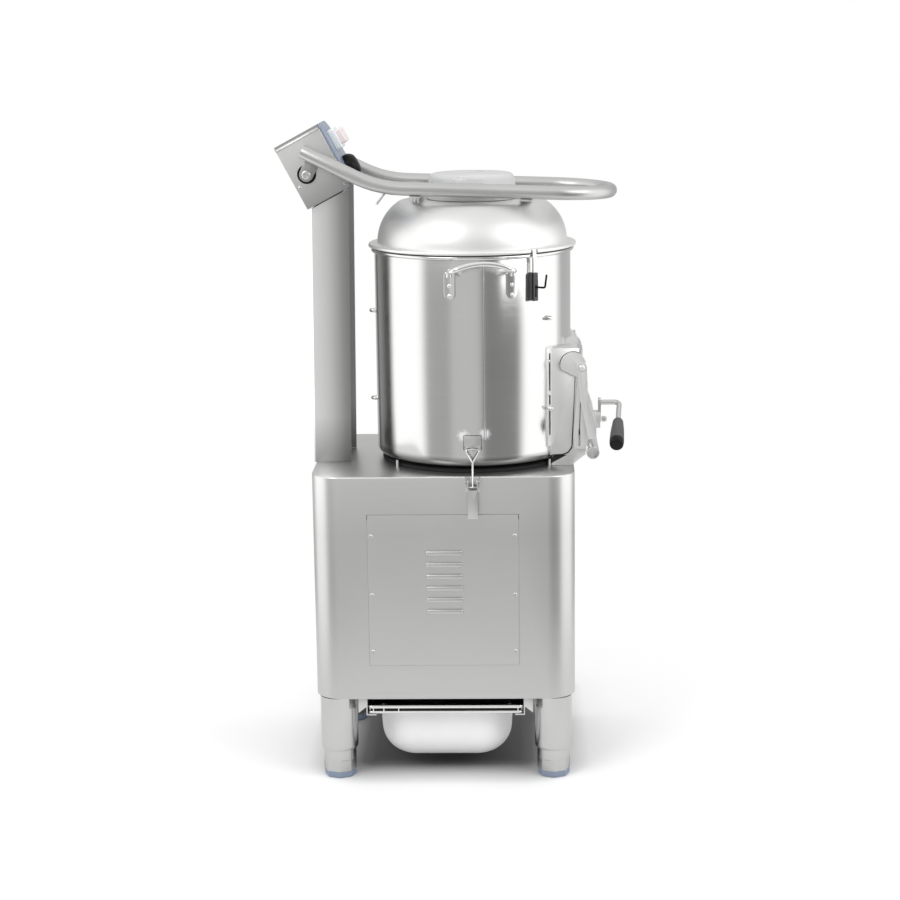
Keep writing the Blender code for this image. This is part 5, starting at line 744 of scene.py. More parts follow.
# %% Panel edge lines
# Painted shade: dark strips in the gap round the panel.
lines = bmesh.new()
for x, z, wide, high in ((-0.1204, 0.319, 0.0006, 0.1240), (0.1196, 0.319, 0.0006, 0.1240),
                         (-0.0004, 0.4434, 0.1200, 0.0003), (-0.0004, 0.1951, 0.1200, 0.0003)):
    add(lines, slab((x - wide, 0, z - high), (x + wide, 0.0002, z + high)))
for x in (-0.1204, 0.1196):
    add(lines, slab((x - 0.0009, 0, 0.4350), (x + 0.0009, 0.0002, 0.4436)))
as_piece(put(lines, at(MIDDLE, -0.17848)), "panel_gap_shade", "cabinet", "dark steel and painted shade")

# %% [markdown]
# ## Drum
#
# The drum is a rolled and welded cylinder: a wall with a rounded foot, a wire rolled into the rim
# and one weld down the front. Spinning the outline of its section gives a true round wall whose
# reflections run straight up and down, which is most of what the photograph shows of it. The weld
# is a low bead on a slightly wider dark strip.

# %% Drum
DRUM = 0.1592  # the drum's outer radius
drum = lathe([(0.019, 0.5134), (DRUM, 0.5134), (DRUM, 0.8440), (0.1577, 0.8480),
              (0.1577, 0.5149), (0.019, 0.5149)], [(1, 0.013), (4, 0.0115)], 160)
drum = put(drum, at(AXIS))
drum = shaped(drum, slab((AXIS + 0.05, -0.083, 0.546), (AXIS + 0.2, 0.083, 0.684)))
bead = bmesh.new()
bmesh.ops.create_circle(bead, segments=16, radius=0.0035)
put(bead, at(0.1612, 0, 0.8475), spun(90, "X"))
bmesh.ops.spin(bead, geom=bead.verts[:] + bead.edges[:], cent=(0, 0, 0), axis=Z,
               angle=2 * math.pi, steps=160, use_merge=True)
bmesh.ops.recalc_face_normals(bead, faces=bead.faces)
weld_place = at(AXIS) @ spun(7.25)
weld = slab((-0.0009, -0.15955, 0.560), (0.0009, -0.1586, 0.8435), 0.0004, 2)
weld_dark_strip = dressed(slab((-0.0021, -0.15935, 0.560), (0.0021, -0.1586, 0.8435)))
add(drum, put(bead, at(AXIS)), put(weld_dark_strip, weld_place), put(weld, weld_place))
for angle, height in ((48.5, 0.746), (131.5, 0.746), (270, 0.746), (270, 0.6008)):
    nut = put(cap_nut(0.0042, 0.0105), at(AXIS), spun(angle), at(0, -DRUM, height), facing(FRONT))
    add(drum, nut)
as_piece(drum, "drum", "cabinet", "drum steel", ("drum_shell",), more=("dark steel and painted shade",))

# %% [markdown]
# ## Gasket
#
# A rubber ring keeps water from running under the drum. Only its rim shows, as a dark line, so a
# lathe section with a lip is enough.

# %% Gasket
gasket = lathe([(0.1312, 0.505), (0.1512, 0.505), (0.1512, 0.5099), (0.1462, 0.5131),
                (0.1312, 0.5131)], [(1, 0.001)], 128)
as_piece(put(gasket, at(AXIS)), "gasket", "cabinet", "black rubber and painted shade", ("drum_gasket",))

# %% [markdown]
# ## Lid
#
# The lid is pressed from one disc: a rolled flange that covers the drum's rim, a dome, and a
# crease where the flatter crown starts. The dome's outline is a stretched arc. Spinning a single
# vertex draws the arc, and scaling stretches it, so no point of it is worked out by hand.

# %% Lid
def dome_outline(inset):
    """The dome's side, from its base to its crease, as (radius, height) points."""
    arc = bmesh.new()
    start = arc.verts.new((1, 0, 0))
    bmesh.ops.spin(arc, geom=[start], cent=(0, 0, 0), axis=(0, -1, 0), angle=math.radians(58),
                   steps=16)
    bmesh.ops.scale(arc, vec=(0.074456 - inset, 1, 0.076647 - inset), verts=arc.verts)
    bmesh.ops.translate(arc, vec=(0.079544, 0, 0.8585), verts=arc.verts)
    points = sorted(((v.co.x, v.co.z) for v in arc.verts), key=lambda point: point[1])
    arc.free()
    return points


BOLT_ANGLE = 36.3  # degrees from the drum's front to the lid bolt
outer = [(0.1660, 0.8518), (0.1685, 0.8530), (0.1685, 0.8564), (0.1668, 0.8576)]
outer += dome_outline(0) + [(0.1165, 0.9246), (0.0640, 0.9275), (0.0600, 0.9342)]
inner = [(0.0584, 0.9342), (0.0584, 0.9262), (0.1150, 0.9230)]
inner += list(reversed(dome_outline(0.0016))) + [(0.1640, 0.8560), (0.1648, 0.8530)]
lid = lathe(outer + inner, [(1, 0.0008), (2, 0.0012)], 160)
notch = put(slab((-0.00625, -0.1765, 0.847), (0.00625, -0.1632, 0.862)), spun(BOLT_ANGLE))
as_piece(put(shaped(lid, notch), at(AXIS)), "lid", "lid", "lid steel", ("lid_dome",), 24)

# %% [markdown]
# ## Clear cover
#
# A moulded cover closes the filler opening under the lever. It is clear plastic that has gone
# milky, so it shows white with brighter edges. Its shape is one more lathe outline with a
# generous radius round the top.

# %% Clear cover
cover = lathe([(0.0735, 0.9278), (0.0680, 0.9680), (0.0, 0.9720), (0.0, 0.9692),
               (0.0655, 0.9655), (0.0708, 0.9278)], [(1, 0.0075), (4, 0.0055), (0, 0.0008)], 96)
as_piece(put(cover, at(AXIS)), "cover", "lid", "clear plastic", ("clear_cover",), 50)

# %% [markdown]
# ## Lever
#
# The lever is one tube. Both ends run down beside the control head, a wide bend brings them level
# over the lid, and the round end is the grip. Half of it is fed and bent here, then mirrored. The
# two lugs under its ends carry the pivot, and a thin rod works the switch that stops the motor
# when the lid goes up.

# %% Lever
LIMB, RUN = 26.5, 2.2  # degrees: how steeply the ends drop, and the grip's slight fall
PIVOT = (-0.2116, 0.9736)  # X, from the middle, and Z of the pivot
limb, run = math.radians(LIMB), math.radians(RUN)
lever = bent_bar(0.011, (-0.2176, -0.0947, 1.0116), (math.cos(limb), 0, -math.sin(limb)),
                 [0.09344, ((0, -1, 0), 0.18, LIMB - RUN), 0.23765,
                  ((math.sin(run), 0, math.cos(run)), 0.0947, 90)], 32, caps=False)
doubled(lever, "Y")
eased(lever, [e for e in lever.edges if e.calc_face_angle(0) > 1], 0.0008, 2)
for side in (-1, 1):
    lug = plate([(-0.0112, -0.0112), (0.0112, -0.0112), (0.0112, 0.0313), (-0.0112, 0.0313)],
                0.0048, [(0, 0.01115), (1, 0.01115)], 0.0005)
    lug = shaped(lug, put(peg(0.0058, -0.02, 0.02), spun(90, "X")))
    place = at(PIVOT[0], side * 0.0819 - 0.0024, PIVOT[1])
    add(lever, put(dressed(lug), place, spun(LIMB, "Y")))
add(lever, bent_bar(0.0017, (-0.0857, -0.0947, 0.9460), (-0.6157, 0, -0.7880), [0.024], 12))
as_piece(put(lever, at(MIDDLE)), "lever", "lid", "tube steel", ("lever_tube",), 40,
         more=("dark steel and painted shade",))

# %% Lever pivot
pivot = put(peg(0.0055, -0.086, 0.086), spun(90, "X"))
for side in (-1, 1):
    head = lathe([(0, -0.0005), (0.0074, -0.0005), (0.0074, 0.0016), (0.0050, 0.0030),
                  (0.0030, 0.0030), (0.0024, 0.0012), (0, 0.0012)],
                 [(2, 0.0005), (3, 0.0006), (4, 0.0004)], 40)
    add(pivot, put(head, at(0, side * 0.0846, 0), facing((0, side, 0))))
as_piece(put(pivot, at(MIDDLE + PIVOT[0], 0, PIVOT[1])), "lever_pivot", "lid", "zinc",
         ("pivot_shaft",))

# %% [markdown]
# ## Lid bars
#
# Two flat bars lie across under the lever and carry the lid, each bolted down by two studs with
# cap nuts. The lever falls a little towards its grip, so the bars are tilted by the same angle.

# %% Lid bars
for name, x, top in (("rear", -0.0400, 0.93903), ("front", 0.1358, 0.93228)):
    bar = put(slab((-0.009, -0.1002, -0.003), (0.009, 0.1002, 0), 0.0007, 3),
              at(x, 0, top), spun(RUN, "Y"))
    for y in (-0.048, 0.048):
        add(bar, put(peg(0.0056, 0.9252, top - 0.001, 24), at(x, y)))
        add(bar, put(cap_nut(0.0042, 0.0074), at(x, y, top - 0.0004)))
    as_piece(put(bar, at(MIDDLE)), "bar_" + name, "lid", "plate steel", ("lid_bar_" + name,))

# %% [markdown]
# ## Column
#
# The column is a channel: one sheet with two soft folds, closed by a cover set back in its open
# side. Its top is cut at the head's tilt with bisect_plane. In the photograph it leans towards the
# drum by about half a degree, which a shear gives without lifting its foot off the cabinet.

# %% Column
TILT = 28  # degrees, of the control head
FOOT = 0.505  # Z of the column's foot


def cut_under_head(bm):
    """Cuts off what would reach into the control head."""
    tilt = math.radians(TILT)
    bmesh.ops.bisect_plane(bm, geom=whole(bm), plane_co=(-0.17678, 0, 0.9359),
                           plane_no=(-math.sin(tilt), 0, math.cos(tilt)), clear_outer=True)


column = slab((-0.2125, -0.0587, FOOT), (-0.1520, 0.0587, 0.97), 0.0025, 5,
              lambda e: reach(e, "z") > 0.1 and all(v.co.x < -0.2 for v in e.verts))
cut_under_head(column)
open_side = [f for f in column.faces if f.calc_center_median().x > -0.1521
             or f.calc_center_median().z < 0.506]
bmesh.ops.delete(column, geom=open_side, context="FACES")
bmesh.ops.recalc_face_normals(column, faces=column.faces)
bmesh.ops.solidify(column, geom=column.faces[:], thickness=0.002)
lean = at(z=FOOT) @ Matrix.Shear("XY", 4, (0.0106, 0)) @ at(z=-FOOT)
as_piece(put(column, at(MIDDLE), lean), "column", "cabinet", "upright steel",
         ("column_channel",))

# %% Column cover
back = slab((-0.1640, -0.0564, FOOT), (-0.1620, 0.0564, 0.97), 0.0003, 1)
cut_under_head(back)
bmesh.ops.holes_fill(back, edges=[e for e in back.edges if e.is_boundary])
for z in (0.56, 0.72, 0.88):
    for y in (-0.046, 0.046):
        add(back, put(button_head(0.0032, 0.0017), at(-0.1620, y, z), facing(X)))
as_piece(put(back, at(MIDDLE), lean), "column_back", "cabinet", "plate steel", ("column_cover",))

# %% [markdown]
# ## Control head
#
# The head is a tilted box, so it is modelled upright and level in its own frame, and one matrix
# then tilts everything on it. Seen from the lid, its top rises in a small radius on one side and
# in a long arch on the other. Bevelling the two upper edges by different radii gives both, on the
# box and on the blue-grey film that covers its face.

# %% Control box
HEAD = at(MIDDLE - 0.2026, 0, 0.9848) @ spun(-TILT, "Y")


def along_x(edge):
    """Whether an edge runs from back to front of the head."""
    return reach(edge, "x") > 0.002


def arched(bm):
    """Rounds the upper edges that run along X: a small radius in front, a wide one behind."""
    for side, radius in ((-1, 0.009), (1, 0.056)):
        edge = [e for e in bm.edges if along_x(e) and e.verts[0].co.z > 0
                and abs(e.verts[0].co.y - side * 0.075) < 1e-4]
        eased(bm, edge, radius, 12)
    return bm


box = arched(slab((-0.0395, -0.075, -0.055), (0.0395, 0.075, 0.055)))
rims = [e for e in box.edges if not along_x(e)
        and all(abs(abs(v.co.x) - 0.0395) < 1e-5 for v in e.verts)]
eased(box, rims, 0.0012, 3)
pivot_hole = put(peg(0.0152, -0.08, 0.08, 64), HEAD.inverted(),
                 at(MIDDLE + PIVOT[0], 0, PIVOT[1]), spun(90, "X"))
box = shaped(box, pivot_hole)
for x, z in ((-0.0330, -0.0190), (0.0335, -0.0470)):
    for side in (-1, 1):
        add(box, put(button_head(0.0028, 0.0014), at(x, side * 0.075, z), facing((0, side, 0))))
as_piece(put(box, HEAD), "control_head", "cabinet", "head steel", ("control_box",), 40)

# %% Control panel
TIMER_Z = -0.029  # the timer's axis, in the head's own frame
film = arched(slab((0.0398, -0.075, -0.055), (0.0428, 0.075, 0.055)))
eased(film, edges_past(film, "x", 0.0427), 0.0009, 3)
film = shaped(film, put(peg(0.0040, 0.03, 0.06), at(0, 0, TIMER_Z), spun(90, "Y")))
as_piece(put(film, HEAD), "control_face", "cabinet", "panel film", ("control_panel",), 40)

# %% [markdown]
# ## Switch, buttons and timer
#
# The white block holds the two push buttons, and the black knob below sets the time. Eight
# grooves round the knob give the fingers a hold, and each is a peg cut out of a lathe shape.
# Eleven tick marks ring it, a longer one at each end and in the middle. They are plain bars a
# tenth of a millimetre proud, copied round the knob by a rotation. A painted mark would need a
# map of its own.

# %% Switch block
KEY_Y = 0.014  # how far each key is from the block's middle
block = slab((0.0431, -0.028, 0.0030), (0.0541, 0.028, 0.0380), 0.0038, 6, along_x)
eased(block, edges_past(block, "x", 0.0540), 0.0018, 4)
for y in (-KEY_Y, KEY_Y):
    well = slab((0.0479, y - 0.0116, 0.0077), (0.06, y + 0.0116, 0.0333), 0.0038, 4, along_x)
    block = shaped(block, well)
as_piece(put(block, HEAD), "switch", "cabinet", "switch plastic", ("switch_block",), 40)

# %% Push buttons
for use, y in (("stop", -KEY_Y), ("start", KEY_Y)):
    key = slab((0.0514, y - 0.01125, 0.0080), (0.0644, y + 0.01125, 0.0330), 0.0036, 6, along_x)
    eased(key, edges_past(key, "x", 0.0643), 0.0026, 5)
    if use == "stop":
        add(key, dressed(slab((0.0643, -0.0186, 0.0262), (0.0646, -0.0094, 0.0270))))
    as_piece(put(key, HEAD), use + "_button_cap", use + "_key", use + " plastic",
             (use + "_button",), 40, more=("red mark",))

# %% Timer knob
knob = lathe([(0, 0), (0.0205, 0), (0.0205, 0.0045), (0.0191, 0.0108), (0.0140, 0.0166),
              (0.0070, 0.0180), (0, 0.0180)], [(2, 0.0012), (3, 0.0030), (4, 0.0030)], 96)
for turn in range(0, 360, 45):
    groove = lathe([(0, 0.0054), (0.0035, 0.0054), (0.0035, 0.03), (0, 0.03)], [(1, 0.001)], 24)
    knob = shaped(knob, put(groove, spun(turn), at(0.0230)))
add(knob, peg(0.0035, -0.003, 0.009, 20))
add(knob, dressed(slab((-0.0006, 0.0085, 0.0172), (0.0006, 0.0150, 0.0182), 0.0002, 1)))
as_piece(put(knob, HEAD, at(0.0431, 0, TIMER_Z), spun(90, "Y")), "timer", "timer_dial",
         "black plastic and painted shade", ("timer_knob",), 40, more=("white plastic",))

# %% Tick marks
ticks = bmesh.new()
for count in range(11):
    length = 0.0030 if count % 5 else 0.0045
    mark = slab((0.0428, -0.00035, 0.0228), (0.0429, 0.00035, 0.0228 + length))
    add(ticks, put(mark, at(0, 0, TIMER_Z), spun(count * 20 - 100, "X")))
as_piece(put(ticks, HEAD), "ticks", "cabinet", "white plastic")

# %% [markdown]
# ## Side handles
#
# A bow of 8 mm wire is welded to two lugs, each riveted to the drum. The bow is another half that
# is fed, bent and mirrored: up from the lug, round two bends, and along a grip that arches a
# little. The rivets are low lathe domes.

# %% Side handles
for name, turn in (("front", 5.7), ("rear", 185.7)):
    handle = bent_bar(0.004, (-0.05001, -0.15672, 0.8180), (0, 0, 1),
                      [0.00528, ((1, 0, 0), 0.004, 84), 0.02413,
                       ((-0.34036, 0.09829, 0.93514), 0.014, 87.9512),
                       ((0, 1, 0), 0.1091062, 20)], caps=False)
    doubled(handle, "X")
    for side in (-1, 1):
        lug = plate([(-0.009, 0.783), (0.009, 0.783), (0.009, 0.826), (-0.009, 0.826)], 0.0025,
                    [(0, 0.00895), (1, 0.00895), (2, 0.006), (3, 0.006)], 0.0010)
        for z in (0.8045, 0.7888):
            rivet = lathe([(0, -0.0006), (0.0034, -0.0006), (0.0030, 0.0011), (0, 0.0021)],
                          [(2, 0.0012)], 24)
            add(lug, put(rivet, at(0, 0, z), facing(FRONT)))
        add(handle, put(lug, spun(side * 17.7), at(0, -0.1620, 0)))
    as_piece(put(handle, at(AXIS), spun(turn)), "handle_" + name, "cabinet", "bright steel",
             ("side_handle_" + name,), 40)

# %% [markdown]
# ## Base and leg sleeves
#
# The base plate closes the cabinet, and each leg is a tube welded under it. A thin black ring round
# the top of each tube is painted shade under the joint. All holes are cut before the tubes are
# added, because the exact Boolean wants a mesh whose shells don't overlap yet.

# %% Base and leg sleeves
LEG_X, LEG_Y = 0.1747, 0.1423
base = slab((MIDDLE - 0.2082, -0.17645, 0.1385), (MIDDLE + 0.2082, 0.17645, 0.1415), 0.043, 12,
            lambda e: reach(e, "z") > 0.002)
base = shaped(base, put(peg(0.0203, 0.13, 0.15, 64), at(AXIS, PIPE_Y)))
legs = [(MIDDLE + x, y) for x in (-LEG_X, LEG_X) for y in (-LEG_Y, LEG_Y)]
for x, y in legs:
    base = shaped(base, put(peg(0.0269, 0.13, 0.15, 64), at(x, y)))
for x, y in legs:
    sleeve = lathe([(0.0270, 0.0470), (0.0286, 0.0470), (0.0302, 0.0505), (0.0302, 0.1383),
                    (0.0290, 0.1383), (0.0290, 0.1400), (0.0270, 0.1400)],
                   [(1, 0.0007), (2, 0.0012)], 96)
    # Painted shade: a thin black ring under the cabinet's edge, round the top of each sleeve.
    ring = lathe([(0.0301, 0.1366), (0.0306, 0.1366), (0.0306, 0.1382), (0.0301, 0.1382)],
                 steps=96)
    add(base, put(sleeve, at(x, y)), put(dressed(ring), at(x, y)))
as_piece(base, "base", "cabinet", "leg steel", ("base_with_sleeves",), more=("black rubber and painted shade",))

# %% [markdown]
# ## Feet
#
# A screw foot turns in each leg. It has eight flats near its lower end for a spanner, cut here
# with eight blocks whose inner upper edge is rounded, so that the flats fade out as milled ones
# do. The pad below is a plastic glide with the same eight sides, so it is a cylinder of eight
# steps with an eased rim.

# %% Feet
PAD_TOP = 0.0105  # the height of the pad under each foot
for number, (x, y) in enumerate(legs, start=1):
    foot = lathe([(0, PAD_TOP), (0.0266, PAD_TOP), (0.0266, 0.097), (0, 0.097)], [(1, 0.0006)], 96)
    for turn in range(8):
        cut = slab((0.02458, -0.02, 0), (0.04, 0.02, 0.0310))
        inner = [e for e in edges_past(cut, "z", 0.03) if all(v.co.x < 0.025 for v in e.verts)]
        foot = shaped(foot, put(eased(cut, inner, 0.0045, 4), spun(22.5 + 45 * turn)))
    pad = lathe([(0, 0), (0.0258, 0), (0.0262, PAD_TOP), (0, PAD_TOP)], [(1, 0.0016)], 8)
    name = f"foot_{number}"
    as_piece(put(add(foot, dressed(pad)), at(x, y)), name + "_screw", name + "_body",
             "leg steel", (name,), 30, more=("glide plastic",))

# %% [markdown]
# ## Filter drawer
#
# The drawer is a frame of two bright bars joined by short posts, with a dark band behind them that
# is painted shade, and a ledge that carries the pan. The bars are bent round the frame by the same
# bender as the lever, and the last bend ends where the first length starts, so the two rings are
# merged there.

# %% Drawer frame
LOW = 0.1110  # the frame's underside
frame_piece = bmesh.new()
for z, radius in ((LOW + 0.0023, 0.0023), (LOW + 0.0114, 0.0031)):
    moves = []
    for length in (0.2374, 0.3294) * 2:
        moves += [length, ((0, 0, 1), 0.004, 90)]
    bar = bent_bar(radius, (-0.1187, -0.1687, z), (1, 0, 0), moves, 16, caps=False)
    bmesh.ops.remove_doubles(bar, verts=bar.verts, dist=2e-5)
    add(frame_piece, bar)
for side in (-1, 1):
    spots = [(x, side * 0.1690, 0) for x in (-0.1170, -0.1000, -0.0760, 0.1170)]
    spots += [(side * 0.1230, y, 90) for y in (-0.160, -0.080, 0, 0.080, 0.160)]
    for x, y, turn in spots:
        post = slab((-0.0007, -0.0012, LOW + 0.002), (0.0007, 0.0012, LOW + 0.0115))
        add(frame_piece, put(post, at(x, y), spun(turn)))
# Painted shade: a dark band behind the bars and between them.
for x, y, wide, deep in ((0, -0.1666, 0.1210, 0.0004), (0, 0.1666, 0.1210, 0.0004),
                         (-0.1206, 0, 0.0004, 0.1660), (0.1206, 0, 0.0004, 0.1660)):
    shade_band = slab((x - wide, y - deep, LOW + 0.0030), (x + wide, y + deep, LOW + 0.0135))
    add(frame_piece, dressed(shade_band))
ledge = plate([(-0.122, -0.168), (0.122, -0.168), (0.122, 0.168), (-0.122, 0.168)], 0.0012)
opening = slab((-0.105, -0.01, -0.151), (0.105, 0.01, 0.151))
ledge = put(shaped(ledge, opening), at(0, 0, LOW), spun(90, "X"))
add(frame_piece, ledge)
as_piece(put(frame_piece, at(MIDDLE)), "drawer_bars", "filter_drawer", "bright steel",
         ("drawer_frame",), 40, more=("black rubber and painted shade",))

# %% [markdown]
# ## Dark sheet under the base
#
# A black sheet under the base, with a flap hanging down behind, is painted shade: it stands in for
# the shade inside the drawer's space. Through the gap over the bars it is all that shows, so two
# thin slabs are enough.

# %% Dark sheet under the base
shade_sheet = slab((-0.1245, -0.1700, 0.1366), (0.1245, 0.1700, 0.1380), 0.0003, 1)
shade_sheet = shaped(shade_sheet, put(peg(0.0206, 0.13, 0.15, 64), at(AXIS - MIDDLE, PIPE_Y)))
add(shade_sheet, slab((-0.1245, 0.1685, 0.1275), (0.1245, 0.1700, 0.1380), 0.0003, 1))
as_piece(put(shade_sheet, at(MIDDLE)), "shade_sheet_under_base", "cabinet", "black rubber and painted shade")

# %% [markdown]
# ## Screen and pan
#
# A perforated screen keeps the peel back, and a plastic pan below it holds the water. The pan
# starts as a cube whose bottom is scaled down. Its upright edges and then its bottom edges are
# bevelled by wide radii, and solidify turns the skin into a wall. A subdivided cube would be
# quicker, but its corners would have no radius that could be measured.

# %% Screen and pan
screen = slab((-0.1217, -0.1677, LOW + 0.0015), (0.1217, 0.1677, LOW + 0.0027), 0.0003, 1)
as_piece(put(screen, at(MIDDLE)), "screen", "filter_drawer", "screen steel", ("filter_screen",))

pan = slab((-0.1095, -0.150, 0.0212), (0.1095, 0.150, 0.1107))
foot_face = [f for f in pan.faces if f.calc_center_median().z < 0.0213]
bmesh.ops.scale(pan, vec=(0.949, 0.963, 1), verts=foot_face[0].verts[:])
eased(pan, [e for e in pan.edges if reach(e, "z") > 0.05], 0.055, 16)
mouth = [f for f in pan.faces if f.calc_center_median().z > 0.1106]
bmesh.ops.delete(pan, geom=mouth, context="FACES")
lower = [e for e in pan.edges if all(v.co.z < 0.0213 for v in e.verts)]
eased(pan, lower, 0.045, 12)
bmesh.ops.recalc_face_normals(pan, faces=pan.faces)
bmesh.ops.solidify(pan, geom=pan.faces[:], thickness=0.003)
as_piece(put(pan, at(MIDDLE)), "pan", "filter_drawer", "pan plastic", ("waste_pan",), 45)

# %% [markdown]
# ## Sheet pieces that keep their CAD shape
#
# Brackets, hooks and folded trays already have their true outline in the CAD model, but a solid
# from a modeller has knife-sharp edges that catch no light. So these nodes are copied, and the
# copy's loose triangles are merged and joined into flat faces, and every real edge is then eased
# by a few tenths of a millimetre. The CAD node itself stays as it is.

# %% A copy with eased edges
def eased_copy(name, node, body, finish, ease=0.0003):
    """The node's shape with merged faces and bevelled edges."""
    bm = bmesh.new()
    bm.from_mesh(frame["nodes"][node].data)
    bmesh.ops.transform(bm, matrix=frame["nodes"][node].matrix_world, verts=bm.verts)
    bmesh.ops.remove_doubles(bm, verts=bm.verts, dist=2e-6)
    bmesh.ops.dissolve_limit(bm, angle_limit=math.radians(1), verts=bm.verts, edges=bm.edges)
    sharp = [e for e in bm.edges if len(e.link_faces) == 2
             and e.calc_face_angle(0) > math.radians(50)]
    eased(bm, sharp, ease, 2, clamp=True)
    as_piece(bm, name, body, finish, (node,), 40)


# %% Copied sheet pieces
for name, node, body, finish, ease in (
        ("chute", "discharge_chute", "cabinet", "chute steel", 0.0003),
        ("spout", "discharge_spout", "cabinet", "plate steel", 0.0002),
        ("bracket_front", "door_bracket_front", "cabinet", "chute steel", 0.0004),
        ("bracket_rear", "door_bracket_rear", "cabinet", "chute steel", 0.0004),
        ("yoke", "door_yoke", "door", "chute steel", 0.0004),
        ("rail_left", "drawer_rail_left", "cabinet", "zinc", 0.0003),
        ("rail_right", "drawer_rail_right", "cabinet", "zinc", 0.0003)):
    eased_copy(name, node, body, finish, ease)
for end in ("front", "rear"):
    eased_copy("keeper_" + end, "drum_keeper_" + end, "cabinet", "zinc")
    eased_copy("latch_base_" + end, "toggle_base_" + end, "cabinet", "zinc", 0.0002)
    eased_copy("latch_lever_" + end, "toggle_lever_" + end, "toggle_" + end, "zinc", 0.0002)
    eased_copy("latch_bail_" + end, "toggle_bail_" + end, "bail_" + end, "zinc", 0.0001)

# %% [markdown]
# ## Lid bolt
#
# A small case on the drum guides a flat tongue up into the lid's notch. A wire arm reaches out
# and up from the tongue for the thumb. The slit in the case is a black strip of painted shade, and
# a bright plate holds the case on the drum. Case and tongue are modelled as if the bolt were at the
# drum's front, and one matrix turns both round the drum, so the tongue still slides straight up.

# %% Lid bolt
BOLT = at(AXIS) @ spun(BOLT_ANGLE)
case = slab((-0.00425, -0.1715, 0.7770), (0.00425, -0.1594, 0.8215), 0.0009, 3)
case = shaped(case, slab((-0.0038, -0.1690, 0.76), (0.0038, -0.1659, 0.84)))
case = shaped(case, slab((-0.0015, -0.1780, 0.783), (0.0015, -0.1680, 0.8016)))
# Painted shade: the slit in the case, drawn as a black strip.
slit = slab((-0.00445, -0.1708, 0.7790), (-0.0042, -0.1672, 0.8210))
holder = slab((0.0044, -0.1715, 0.7775), (0.0054, -0.1596, 0.8200), 0.0002, 1)
add(holder, slab((0.0044, -0.1606, 0.7768), (0.0145, -0.1580, 0.7778), 0.0002, 1))
add(case, dressed(slit), dressed(holder, 2))
as_piece(put(case, BOLT), "bolt_case", "cabinet", "graphite plastic", ("lid_bolt_housing",), 40,
         more=("black plastic and painted shade", "bright steel"))

tongue = slab((-0.0035, -0.1687, 0.7865), (0.0035, -0.1662, 0.8576), 0.0003, 2)
arm = bent_bar(0.0016, (0, -0.1675, 0.7985), (0.0085, -0.0175, 0),
               [0.0160, ((-0.0175, -0.0085, 0), 0.0030, 82), 0.0180], 12)
add(tongue, dressed(arm))
as_piece(put(tongue, BOLT), "bolt_tongue", "lid_bolt", "bright steel", ("lid_bolt_tongue",), 40,
         more=("black plastic and painted shade",))

# %% [markdown]
# ## Dark seams, painted shade
# Where two sheets lie on each other the photograph shows a thin dark line, darker than the gap
# of a third of a millimetre can make it. So shade is painted into the seams between drum, chute
# and brackets, as black strips in those gaps: a plate each, cut from its outline. Strips of the
# same kind paint the shadows under the chute, round two rounded tops and beside the keepers. The
# strips could be curves with a bevel, but a curve is as thick as it is wide, and these have to be
# flatter than the gap.

# %% Dark seams, painted shade
SEAM = 0.0002  # the strips' thickness
CHUTE_SIDE, BRACKET_SIDE, CHUTE_FOOT = 0.10015, 0.10295, 0.0974  # Y of each sheet's face
seam_shadows = bmesh.new()


def seam_shadow(outline, face, side):
    """A dark plate of painted shade, of an (x, z) outline on a sheet's face, on either side of the
    machine.
    """
    add(seam_shadows, put(plate(outline, SEAM, ease=0), at(MIDDLE, side * face - SEAM / 2)))


def strip(*points):
    """The outline of a line through (x, z, width) points."""
    right = [(x + wide / 2, z) for x, z, wide in points]
    left = [(x - wide / 2, z) for x, z, wide in points]
    return right + left[::-1]


def rim_line(centre, radius, wide, start, end):
    """The outline of an arc round a plate's round top, from one angle to another."""
    turns = [math.radians(start + (end - start) * i / 24) for i in range(25)]
    return [(centre[0] + r * math.cos(a), centre[1] + r * math.sin(a))
            for r, row in ((radius, turns), (radius + wide, turns[::-1])) for a in row]


# Painted shadows: one below the chute on its side, one on its foot.
shadow_below_chute = [(0.1740, 0.5222), (0.1915, 0.5222), (0.2010, 0.5255), (0.2065, 0.5330),
         (0.2078, 0.5400), (0.2062, 0.5400), (0.2048, 0.5345), (0.2000, 0.5275),
         (0.1915, 0.5242), (0.1740, 0.5232)]
shadow = [(0.1650, 0.5052), (0.1675, 0.5052), (0.1990, 0.5222), (0.1782, 0.5222)]
for side in (-1, 1):
    seam_shadow(strip((0.2117, 0.6500, 0.0009), (0.2096, 0.6000, 0.0011), (0.2068, 0.5400, 0.0018)),
         CHUTE_SIDE, side)
    seam_shadow(strip((0.2206, 0.6200, 0.0009), (0.2184, 0.5560, 0.0014)), BRACKET_SIDE, side)
    seam_shadow(shadow_below_chute, CHUTE_SIDE, side)
    seam_shadow(shadow, CHUTE_FOOT, side)
    # Painted shadows round two rounded tops: a lug's and the yoke's.
    seam_shadow(rim_line((0.2085, 0.6695), 0.0205, 0.0009, 60, 178), CHUTE_SIDE, side)
    seam_shadow(rim_line((0.2222, 0.6651), 0.0065, 0.0012, 15, 150), BRACKET_SIDE, side)
    # Painted shade: dark lines on the drum in the gaps beside the chute's band.
    for low, high in ((0.6285, 0.6890), (0.6060, 0.6215), (0.5560, 0.5955)):
        line = slab((-0.0006, -0.1626, low), (0.0006, -0.1618, high))
        add(seam_shadows, put(line, at(AXIS), spun(90 + side * 40.35)))
